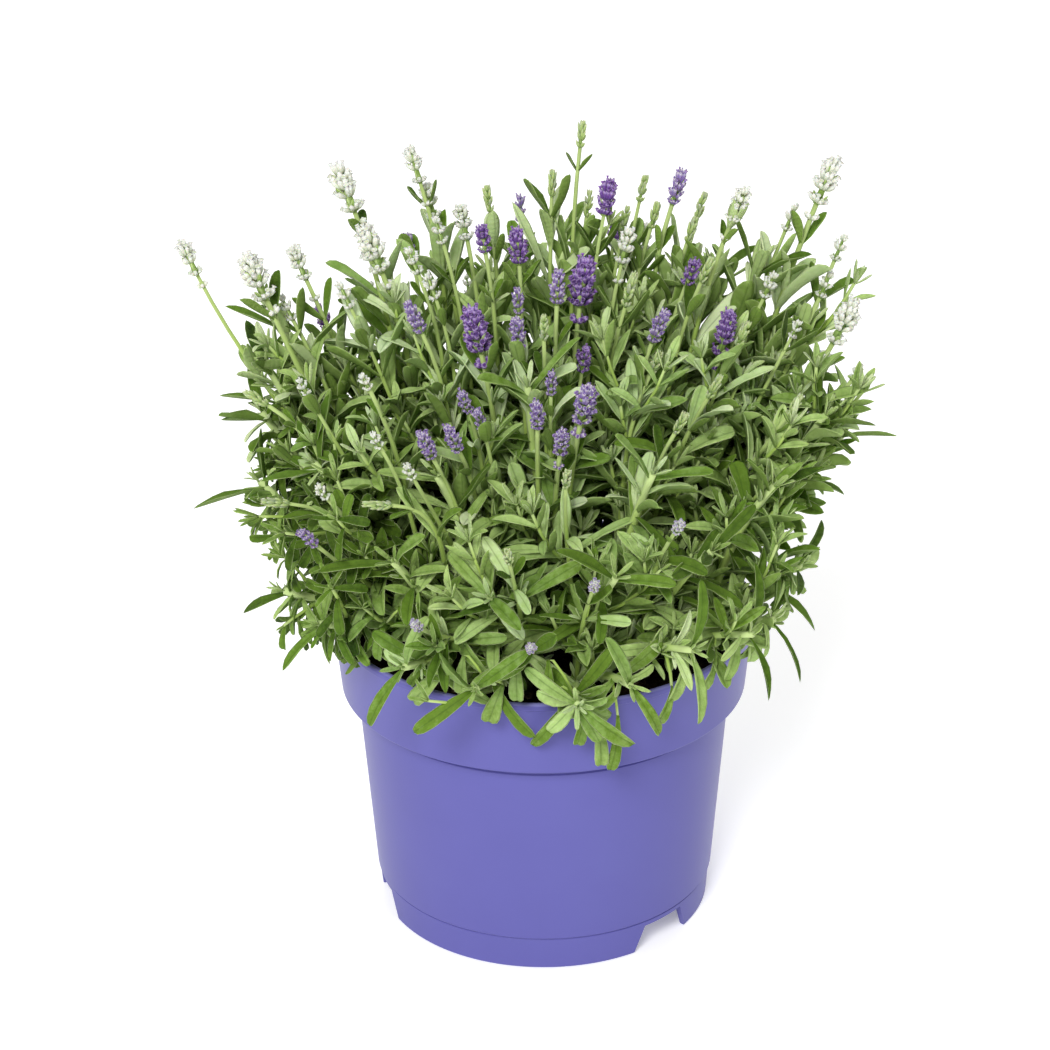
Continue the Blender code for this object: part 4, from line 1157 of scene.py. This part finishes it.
def addFoliage(bm, stem, heads, chance):
    # leaf pairs up a stem, each a quarter turned from the last, with shoots and tufts in the axils
    path, leafy = stem["path"], stem["kind"] == "leafy"
    length = pathLength(path)
    stemTone = chance.uniform(-0.12, 0.12)
    bare = chance.uniform(*foliage["bare"])
    if path[3].x < foliage["farLeft"]:
        bare = foliage["bare"][1]
    last = length - 2 if leafy else max(length - bare, length * 0.6)
    addSolidsPairs(bm, stem, stemTone, chance)
    distance = foliage["low"] * chance.uniform(0.8, 1.6)
    number = chance.randrange(2)
    while distance < last:
        t = distance / length
        if any(abs(s - t) * length < foliage["nextToSolid"] for s in stem["stations"]):
            distance += 5
            continue
        number += 1
        joint = curvePoint(path, t)
        if joint.z < 152 and -80 < joint.x < -14 and joint.y < -40 and chance.random() < 0.7:
            distance += 6  # the compost shows here
            continue
        left = last - distance
        youth = max(0.0, 1 - left / 26) if leafy else max(0.0, 0.6 - left / 40)
        high, right, front, sides, hang = zonesAt(joint)
        shoots = foliage["shootShare"] * (1 + 0.8 * sides + 1.2 * hang + 1.3 * right)
        shoots = shoots * (1 - 0.9 * high) * (1 - 0.4 * front)
        tufts = foliage["tuftShare"] * (1 - 0.4 * high) + 0.4 * front
        along, first, second = stemFrame(path, t, stem["turn"])
        for face in (number % 2, number % 2 + 2):
            out = around(first, second, math.pi / 2 * face + math.pi / 4 + chance.uniform(-0.25, 0.25))
            fromEnd = left / (last - foliage["low"])
            addFreeLeaf(bm, joint, along, out, youth, fromEnd, heads, chance, stemTone)
            if chance.random() < shoots and 0.25 < t < 0.85:
                addShoot(bm, joint, along, out, heads, chance, stemTone)
            elif chance.random() < tufts:
                addTuft(bm, joint, along, out, heads, chance, stemTone)
        step = foliage["nodeStep"] * chance.uniform(0.8, 1.35) * (1 - 0.3 * youth)
        distance += step * (1 - 0.14 * sides - 0.22 * right)
    tip = path[3]
    star = tip.z < 190 and tip.x > 50 and reachOf(tip) > 98 and chance.random() < 0.6
    star = star or (tip.x < -90 and tip.z < 240) or isAt(tip, rosette["star"])
    if leafy:
        addTip = addRosette if star and not beforeCompost(tip) else addCrown
        addTip(bm, path, stem["turn"], chance, stemTone)


def addShoot(bm, joint, along, out, heads, chance, stemTone):
    # a side shoot from an axil: a thin stalk with pairs of smaller leaves
    lean = math.radians(chance.uniform(*foliage["shootLean"]))
    reach = chance.uniform(*foliage["shoot"])
    leave = around(along, out, lean).normalized()
    hang = drooping(joint)
    arrive = (leave + along * 0.2 + up * (1.1 - 1.3 * hang)).normalized()
    tip = joint + (leave + arrive).normalized() * reach
    path = (joint, joint + leave * reach * 0.35, tip - arrive * reach * 0.35, tip)
    turn = chance.uniform(0, 1.6)
    if not isOpen([curvePoint(path, t) for t in (0.5, 1.0)], heads):
        return
    addStem(bm, path, turn, (1.05, 0.75), 0.5, "short")
    count = max(2, round(reach / 8))
    for k in range(count):
        t = (k + 0.8) / count
        axis, first, second = stemFrame(path, min(t, 1.0), turn)
        for face in (k % 2, k % 2 + 2):
            away = around(first, second, math.pi / 2 * face + chance.uniform(-0.3, 0.3))
            tilt = math.radians(chance.uniform(*foliage["shootLeafLean"]) - 18 * t)
            blade = around(axis, away, tilt).normalized()
            side = squared(axis.cross(away), blade)
            size = chance.uniform(*foliage["shootLeaf"]) * (1.1 - 0.45 * t) * (1 - 0.15 * hang)
            if hang > 0:
                blade = (blade - up * 0.9 * hang).normalized()
                side = squared(side, blade)
            width = size * chance.uniform(*foliage["shootLeafWidth"])
            bend = chance.uniform(-0.3, 0.9) + 0.5 * hang
            form = (curvePoint(path, min(t, 1.0)), side, blade, size, width, bend)
            if freeLeaf(form, heads):
                tone = tones["shoot"] + stemTone + 0.15 * t + chance.uniform(-0.14, 0.14)
                # painted shade at the sides and front, painted light on top
                tone -= 1.1 * paintedShadeAndLight(joint)
                kind = "small" if size < 12 else "blunt" if hang > 0.4 else "lance"
                addLeaf(bm, form, kind, tone, chance.uniform(-0.5, 0.5))
    addCrown(bm, path, turn, chance, stemTone)


def addTuft(bm, joint, along, out, heads, chance, stemTone):
    # the small pale leaves in a leaf's axil
    for leaf in range(chance.choice((2, 2, 3))):
        lean = math.radians(chance.uniform(*foliage["tuftLean"]))
        swing = chance.uniform(-0.5, 0.5)
        blade = (around(along, out, lean) + along.cross(out) * swing).normalized()
        size = chance.uniform(*foliage["tuft"])
        width = size * chance.uniform(*foliage["tuftWidth"])
        form = formAt(joint + out * 0.8, along, out, blade, size, width, chance.uniform(-0.2, 0.7))
        if freeLeaf(form, heads):
            # painted shade at the sides and front, painted light on top
            tone = tones["tuft"] + stemTone + chance.uniform(-0.1, 0.25) - 0.6 * paintedShadeAndLight(joint)
            addLeaf(bm, form, "small", tone)


rosette = {
    # rings of a low, outer tip: leaves, mm long, degrees off the stem, how far they hang
    "rings": ((4, 23.0, 84.0, 1.5), (4, 18.0, 66.0, 0.5), (4, 12.0, 38.0, 0.0), (4, 7.0, 16.0, 0.0)),
    "drooping": ((4, 21.0, 88.0, 1.7), (4, 22.0, 84.0, 1.5), (4, 21.0, 76.0, 1.1), (4, 19.0, 66.0, 0.7),
                 (4, 14.0, 48.0, 0.3), (4, 8.0, 18.0, 0.0)),
    "step": 3.0, "droopingStep": 4.8, "slender": (0.22, 0.30),  # mm between rings; width to length
    "star": (14, -112, 152),  # the broad one that faces the front
}


def addRosette(bm, path, turn, chance, stemTone):
    # the star of leaves that a low outer stem turns to the light, the lowest hanging like fingers
    along, first, second = stemFrame(path, 1.0, turn)
    tip = path[3]
    hanging = tip.x < -90
    rings = rosette["drooping" if hanging else "rings"]
    step = rosette["droopingStep" if hanging else "step"]
    breadth = 0.84 if hanging else 1.2 if abs(tip.x) < 40 else 1.0
    for ring, (count, size, lean, hang) in enumerate(rings):
        joint = tip - along * step * (len(rings) - 1 - ring)
        for k in range(count):
            angle = fullTurn * (k + 0.5 * ring) / count + chance.uniform(-0.25, 0.25)
            out = around(first, second, angle)
            tilt = math.radians(lean + chance.uniform(-22, 16))
            blade = (around(along, out, tilt) - up * hang * chance.uniform(0.3, 1.6)).normalized()
            length = size * chance.uniform(0.85, 1.12)
            width = length * chance.uniform(*rosette["slender"]) * breadth
            form = formAt(joint, along, out, blade, length, width, chance.uniform(0.0, 0.8) + 0.4 * hang)
            points = [leafCentre(form, t) for t in (0.4, 0.7, 1.0)]
            if clearOfPot(points) and (hanging or insideBox(points[2:])):
                # painted shade on the hanging leaves at the low left
                shade = 1.1 * paintedShadeAndLight(joint) if hanging else 0.0
                tone = tones["rosette"] + 0.13 * ring + stemTone + chance.uniform(-0.12, 0.14) - shade
                kind = "small" if size <= 12.5 else "strap" if hanging else "leaf"
                addLeaf(bm, form, kind, tone, chance.uniform(-0.5, 0.5))


fingers = (  # leaves that hang over the rim: joint, tip, mm wide
    ((-38, -92, 163), (-55, -87, 141), 7.4), ((-49, -87, 159), (-56, -86, 148), 4.6),
    ((-33, -94, 166), (-34, -97, 150), 6.4), ((-17, -99, 155), (-23, -100, 138), 8.0),
    ((-11, -99, 168), (-11, -102, 149), 6.6), ((2, -100, 167), (2, -103, 151), 5.6),
    ((7, -100, 154), (9, -103, 140), 6.4), ((17, -99, 142), (14, -102, 128), 5.6),
    ((22, -98, 141), (24, -100, 117), 6.4), ((31, -95, 138), (28, -99, 114), 5.6),
    ((54, -84, 146), (48, -91, 132), 5.0), ((60, -80, 161), (53, -88, 141), 7.2),
    ((73, -68, 156), (67, -78, 141), 5.0), ((-66, -75, 172), (-70, -76, 155), 6.0),
)
fingerBend = 0.9  # radians from joint to tip


def placeFingers(stems):
    # gives each hanging leaf to the leafy stem that passes nearest
    leafy = [s for s in stems if s["kind"] == "leafy"]
    for finger in fingers:
        joint = Vector(finger[0])
        away, stem, t = min(((curvePoint(s["path"], k / 30) - joint).length, number, k / 30)
                            for number, s in enumerate(leafy) for k in range(9, 31))
        leafy[stem].setdefault("fingers", []).append((t, away, finger))


def addFinger(bm, stem, t, away, finger, chance):
    # one long leaf that hangs from a short stalk
    joint, tip, width = Vector(finger[0]), Vector(finger[1]), finger[2]
    half = fingerBend / 2
    chord = (tip - joint).normalized()
    side = squared(up.cross(Vector((joint.x, joint.y, 0)).normalized()), chord)
    blade = around(chord, chord.cross(side), half)
    length = (tip - joint).length * half / math.sin(half)
    tone = tones["finger"] + chance.uniform(-0.1, 0.12)
    addLeaf(bm, (joint, side, blade, length, width, fingerBend), "blunt", tone, chance.uniform(-0.25, 0.25))
    if away > 1.5:
        start = curvePoint(stem["path"], t)
        path = (start, start + (joint - start) * 0.4 + up * away * 0.15, joint - blade * away * 0.2, joint)
        addStem(bm, path, 0.4, (0.85, 0.7), 0.7, "short")


def addCrown(bm, path, turn, chance, stemTone):
    # the young leaves round a growing tip: four, and two smaller ones that stand steeper
    along, first, second = stemFrame(path, 1.0, turn)
    tip = path[3]
    for k in range(6):
        lean, sizes, below, shift = (34, (9, 14), 1.5, 0) if k < 4 else (14, (5, 8), 0.5, math.pi / 4)
        out = around(first, second, k * math.pi / 2 + shift)
        blade = around(along, out, math.radians(lean + chance.uniform(-8, 8))).normalized()
        size = chance.uniform(*sizes)
        form = formAt(tip - along * below, along, out, blade, size, size * 0.26, chance.uniform(-0.5, 0.1))
        if insideBox([leafCentre(form, 1.0)]):
            # painted shade at the sides and front, painted light on top
            addLeaf(bm, form, "small", tones["crown"] + stemTone - paintedShadeAndLight(tip), chance.uniform(-0.5, 0.5))


# Flower heads

# calyces in a whorl, radius next to the solid's, calyx width, how many are open, how many heads
# have a whorl apart, and the degrees that the lowest calyces lean out
headPlan = {
    "white": {"calyces": 8, "radius": 1.0, "fat": 1.02, "open": 0.80, "gap": 0.95, "lean": 54},
    "grey": {"calyces": 7, "radius": 0.84, "fat": 1.0, "open": 0.10, "gap": 0.0, "lean": 40},
    "deep_purple": {"calyces": 10, "radius": 1.06, "fat": 1.05, "open": 0.62, "gap": 0.4, "lean": 50},
    "violet": {"calyces": 9, "radius": 0.86, "fat": 1.05, "open": 0.26, "gap": 0.15, "lean": 44},
    "bud": {"calyces": 6, "radius": 0.74, "fat": 1.0, "open": 0.0, "gap": 0.1, "lean": 26},
}
whorlCount = {"S": 4, "M": 5, "L": 6}
bractLean = (0.62, 0.78)  # along and away from the stalk


def addFloret(bm, base, direction, length, width, kind, tone, chance, finish=0):
    side, rise = frameAlong(direction)
    across = around(side, rise, chance.uniform(0, 6.28))
    over = direction.cross(across)
    addCopy(bm, templates[kind], lambda co: base + direction * (co.z * length)
            + (across * co.x + over * co.y) * (width / 2), tone, finish)


def addHead(bm, stem, chance):
    # whorls of calyces up a spindle, each turned over the gaps below, some with their flower open
    kind, size = stem["look"], stem["size"]
    form = headPlan[kind]
    calyx = "bud" if kind == "bud" else "calyx"
    length, radius = plan["heads"][size][:2]
    radius *= form["radius"] * stem["slim"]
    base, along = stem["end"], stem["along"]
    if kind == "grey" or (kind == "white" and size == "S" and base.z < 275):
        length *= 0.68
        radius *= 0.76 if kind == "white" else 1.0
    side, rise = frameAlong(along)
    whorls = whorlCount[size] - (1 if kind == "white" else 0)
    parted = chance.random() < form["gap"] and size != "S"  # its lowest whorl stands apart
    spacing = length * (0.62 if parted else 0.72) / (whorls - 1)
    turn = chance.uniform(0, 6.28)
    foot, tall, thick = base - along * 0.5, length * 0.9, radius * 0.34  # the spindle
    addCopy(bm, templates["short"], lambda co: foot + along * (co.z * tall)
            + (side * co.x + rise * co.y) * thick * (1 - 0.5 * co.z), 0.5, 1)
    for k in range(whorls):
        t = k / (whorls - 1)
        height = spacing * k + (length * 0.12 if parted and k else 0.0)
        swell = math.sqrt(max(0.0, 1 - (1.16 * t - 0.36) ** 2)) if k else 0.88
        number = max(5, round(form["calyces"] * (1 - 0.25 * t) * (1.15 if size == "L" else 1.0)))
        lean = math.radians(form["lean"] * (1 - 0.62 * t))
        for j in range(number):
            angle = turn + fullTurn * (j + 0.5 * (k % 2)) / number + chance.uniform(-0.24, 0.24)
            out = around(side, rise, angle)
            tilt = max(0.14, lean + chance.uniform(-0.2, 0.2))
            direction = around(along, out, tilt).normalized()
            start = base + along * height + out * radius * 0.2
            width = fullTurn * radius * 0.55 * swell / number * form["fat"]
            reach = (radius * (swell * 1.08 - 0.2) - width * 0.30) / math.sin(tilt)
            reach = min(spacing * 2.1, reach, (length - height) / math.cos(tilt)) * chance.uniform(0.9, 1.08)
            tone = chance.uniform(0.2, 0.75)
            addFloret(bm, start, direction, reach, width, calyx, tone, chance)
            if chance.random() < form["open"] * (1 - t * 0.5):
                lift = (direction + along * 0.3).normalized()
                mouth = start + direction * reach * 0.66
                addFloret(bm, mouth, lift, reach * 0.45, width * 1.15, "flower", tone, chance, 2)
        if k < whorls - 1:
            place = base + along * (height - 0.3)
            addBracts(bm, place, along, side, rise, radius * swell, turn + k * 1.57, chance)
    for j in range(5):  # the closed tip
        out = around(side, rise, turn + math.pi / 2.5 * j)
        direction = (along + out * 0.22).normalized()
        top = base + along * length * 0.74 + out * 0.3
        addFloret(bm, top, direction, length * 0.24, radius * 0.40, "bud", 0.3, chance)
    if size == "L" or (size == "M" and chance.random() < 0.4):
        # a whorl of its own on the stalk below
        below = 1 - chance.uniform(6, 11) / pathLength(stem["path"])
        centre = curvePoint(stem["path"], below)
        axis, first, second = stemFrame(stem["path"], below, stem["turn"])
        for j in range(5):
            out = around(first, second, turn + fullTurn * j / 5)
            direction = (axis * bractLean[0] + out * bractLean[1]).normalized()
            addFloret(bm, centre + out * 0.4, direction, radius * 0.75, radius * 0.42, calyx, 0.5, chance)


def addBracts(bm, place, along, side, rise, radius, turn, chance):
    # two small pointed leaves that hold a whorl
    for angle in (turn, turn + math.pi):
        out = around(side, rise, angle)
        blade = (along * bractLean[0] + out * bractLean[1]).normalized()
        form = formAt(place, along, out, blade, radius * 1.25, radius * 0.7, -0.6)
        addLeaf(bm, form, "small", tones["bract"] + chance.uniform(-0.1, 0.1), 0.0, 1)


def addHighPair(bm, stem, chance):
    # the leaf pair a little below a head
    t = 1 - chance.uniform(7, 26) / pathLength(stem["path"])
    along, first, second = stemFrame(stem["path"], t, stem["turn"])
    joint = curvePoint(stem["path"], t)
    size = chance.uniform(10, 22)
    for face in (0, 2):
        out = around(first, second, math.pi / 2 * face + math.pi / 4)
        blade = (along * 0.80 + out * 0.60).normalized()
        form = formAt(joint, along, out, blade, size, size * 0.32, chance.uniform(-0.5, 0.2))
        if insideBox([leafCentre(form, 1.0)]):
            tone = tones["highPair"] + chance.uniform(-0.12, 0.2)
            addLeaf(bm, form, "leaf", tone, chance.uniform(-0.3, 0.3))


def addCup(bm, stem, cup, chance):
    # the broad pale leaves that a head stands in
    count, size, width, below = cup
    along, first, second = stemFrame(stem["path"], 1.0, stem["turn"])
    for k in range(count):
        out = around(first, second, fullTurn * k / count + 0.4)
        blade = (along * 0.90 + out * 0.44).normalized()
        joint = stem["path"][3] - along * below
        form = formAt(joint, along, out, blade, size * chance.uniform(0.85, 1.05), width, -0.4)
        addLeaf(bm, form, "lance", tones["cup"], 0.1)


def addBase(bm, place):
    # the short woody foot that a bunch grows from
    low = plan["soilTop"] - plan["baseDepth"] + 0.3
    high = plan["soilTop"] + plan["baseRise"]

    def put(co):
        radius = plan["baseRadius"] + (plan["baseTopRadius"] - plan["baseRadius"]) * co.z
        knot = 1 + 0.08 * math.sin(co.z * 17 + place[0])
        x, y = (place[i] + co[i] * radius * knot * 0.97 for i in range(2))
        return Vector((x, y, low + (high - low) * co.z))

    addCopy(bm, templates["short"], put, 0.0, 2)


# The whole plant

petals = {  # name, calyx from its base to its dark mouth, its blush, and the open flower likewise
    "white": ("woollyWhite", ("869E5A", "BCC89E", "D8DCC8", "EBECE2", "ECECE6"), "CACACA",
              ("D0D6BE", "E4E6DA", "EFEFEA", "F5F4F2", "C2CAA8")),
    "grey": ("woollyGrey", ("8A9A6C", "A0A698", "B6B8B2", "D4D5CC", "9488B0"), "82769E",
             ("9890AE", "A8A2BC", "B8B2C8", "C8C4D4", "6A628C")),
    "deep_purple": ("woollyPurple", ("6C627C", "562B80", "663A92", "B29ACA", "50287A"), "46226A",
                    ("5E328E", "6F3FA1", "8150AF", "A683C6", "341650")),
    "violet": ("woollyViolet", ("8E9878", "745A98", "866EAC", "CAC2CE", "684A9A"), "62479A",
               ("7250A0", "8462B0", "9678C0", "B098CE", "4A3470")),
    "bud": ("woollyGreen", ("7C9A4A", "95B05C", "A9BE76", "C2CE9C", "8FA860"), "9C97A8",
            ("9C94B4", "ABA4C2", "B8B2CC", "C8C4D6", "6E6690")),
}
stout = {"leafy": 1.48, "flower": 1.22}  # how much thicker a stem looks than its solid
thin = {None: 1.0, "L": 0.95, "M": 0.82, "S": 0.76}  # by the head that a stem carries


def planPlant(bases):
    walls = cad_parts["pot"].data
    addSolid(([v.co / mm for v in walls.vertices], [tuple(p.vertices) for p in walls.polygons]))
    for number, place in enumerate(bases):
        addSolid(baseSolid(place), bunch=number)
    stems = placeStems(bases)
    placeSolidLeaves(stems)
    finishStems(stems)
    placeFingers(stems)
    print("planned", len(stems), "stems and", sum(len(s["leaves"]) for s in stems), "solid leaves")
    return stems


def headPlaces(flowering):
    # two places in each head, for leaves to keep away from
    heads = kdtree.KDTree(len(flowering) * 2)
    for k, stem in enumerate(flowering):
        length = plan["heads"][stem["size"]][0]
        for half, part in enumerate((0.2, 0.75)):
            heads.insert(stem["end"] + stem["along"] * length * part, 2 * k + half)
    heads.balance()
    return heads


def growBunches(bases, stems, heads, finishes):
    for number, place in enumerate(bases):
        own = [s for s in stems if s["base"] == number]
        if not own:
            continue
        chance = random.Random(100 + number)
        bm = newGrowth()
        addBase(bm, place)
        for stem in own:
            leafy = stem["kind"] == "leafy"
            slender, wide = thin[stem["size"]], stout["leafy" if leafy else "flower"]
            radii = (plan["stemLow"] * (0.5 + 0.5 * slender) * wide, plan["stemHigh"] * slender * wide**1.7)
            # a low tone gives a flower stalk the darker stalk colour, partly its own colour and partly
            # painted shade
            shade = 0.3 * chance.random() + (0.7 if leafy else 0.0)
            addStem(bm, stem["path"], stem["turn"], radii, shade)
            addFoliage(bm, stem, heads, chance)
            for t, away, finger in stem.get("fingers", ()):
                addFinger(bm, stem, t, away, finger, chance)
            if stem["size"] and chance.random() < 0.7 and stem["end"].x > foliage["farLeft"]:
                addHighPair(bm, stem, chance)
            for middle, cup in leafCups.items():
                if stem["size"] and isAt(headMiddle(stem), middle):
                    addCup(bm, stem, cup, chance)
        addPiece(f"bunch_{number + 1:02d}", bm, finishes, [f"stems_{number + 1:02d}"])
    print("grew the bunches")


def setHeads(flowering, leaf):
    # one piece for each large head, and one for all small heads of a kind
    finishes = {}
    for kind, (name, colours, blush, flower) in petals.items():
        woolly = makeCalyxMaterial(name + ("Bud" if kind == "bud" else "Calyx"), colours, blush)
        finishes[kind] = [woolly, leaf, makeCalyxMaterial(name + "Corolla", flower, flower[3])]
    for number, stem in enumerate(flowering):
        stem["chance"] = random.Random(500 + number)
        if stem["node"]:
            kind, bm = stem["kind"], newGrowth()
            addHead(bm, stem, stem["chance"])
            name = stem["node"].replace("bloom", "head")
            addPiece(name, bm, finishes[kind], [stem["node"]])
    for kind in headPlan:
        bm = newGrowth()
        for stem in flowering:
            if stem["look"] == kind and not stem["node"]:
                addHead(bm, stem, stem["chance"])
        addPiece(f"small_heads_{kind}", bm, finishes[kind])
    print("set", len(flowering), "flower heads")


def makePlant():
    bases = basePlaces()
    stems = planPlant(bases)
    flowering = [s for s in stems if s["size"]]
    leaf = makeLeafMaterial()
    growBunches(bases, stems, headPlaces(flowering), [leaf, makeStemMaterial(), makeBarkMaterial()])
    setHeads(flowering, leaf)


# Light, floor and camera, in metres

def makeStudio():
    studio = {
        "floor": "FCFCFB", "glow": 0.27, "world": 0.50, "floorSize": 12.0, "floorDrop": 0.0002,
        # place, size and watts of each lamp, all turned to the aim
        "key": ((-1.1, -4.0, 3.5), 1.6, 205.0), "fill": ((3.2, -1.8, 2.4), 2.6, 3.0),
        "back": ((0.3, 2.6, 4.4), 3.4, 75.0), "aim": (0, 0, 0.15),
    }
    world = bpy.data.worlds.new("studio")
    bpy.context.scene.world = world
    world.use_nodes = True
    setInputs(world.node_tree, world.node_tree.nodes["Background"], {
        "Color": (1, 1, 1, 1), "Strength": studio["world"]})
    for name in ("key", "fill", "back"):
        place, size, power = studio[name]
        light = bpy.data.lights.new(name, "AREA")
        light.size = size
        light.energy = power
        lamp = addObject(name, light)
        lamp.location = place
        lamp.rotation_euler = (Vector(studio["aim"]) - Vector(place)).to_track_quat("-Z", "Y").to_euler()
    paper = newMaterial("paleStudioPaper", {
        "Base Color": toLinear(studio["floor"]), "Roughness": 0.9,
        "Emission Color": (1, 1, 1, 1), "Emission Strength": studio["glow"]})[0]
    bm = bmesh.new()
    bmesh.ops.create_grid(bm, x_segments=2, y_segments=2, size=studio["floorSize"])
    floor = addObject("studio_floor", toMesh("studio_floor", bm, [paper]))
    floor.location.z = -studio["floorDrop"]
    bpy.context.scene.view_settings.view_transform = "Standard"


def makeCamera():
    # fitted to the photograph: a long lens from 1.4 m away, looking down on the pot; focal length
    # and image width are in pixels, the rest in metres and degrees
    lens = {"place": (0, -1.2035, 0.7391), "down": 24.83, "turn": -0.37, "roll": -0.49,
            "focal": 3000, "image": 1050}
    down, turn, roll = (math.radians(lens[key]) for key in ("down", "turn", "roll"))
    ahead = Vector((math.sin(turn) * math.cos(down), math.cos(turn) * math.cos(down), -math.sin(down)))
    right = Vector((math.cos(turn), -math.sin(turn), 0))
    above = right.cross(ahead)
    axes = Matrix((around(right, above, roll), around(above, -right, roll), -ahead)).transposed()
    data = bpy.data.cameras.new("camera")
    data.sensor_width = 36.0
    data.lens = lens["focal"] / lens["image"] * data.sensor_width
    camera = addObject("camera", data)
    camera.matrix_world = Matrix.Translation(lens["place"]) @ axes.to_4x4()
    bpy.context.scene.camera = camera


makeCamera()
makeStudio()
print("set up the camera and the studio")
makePot(makePotMaterial())
makeCompost(makeCompostMaterial())
makePlant()
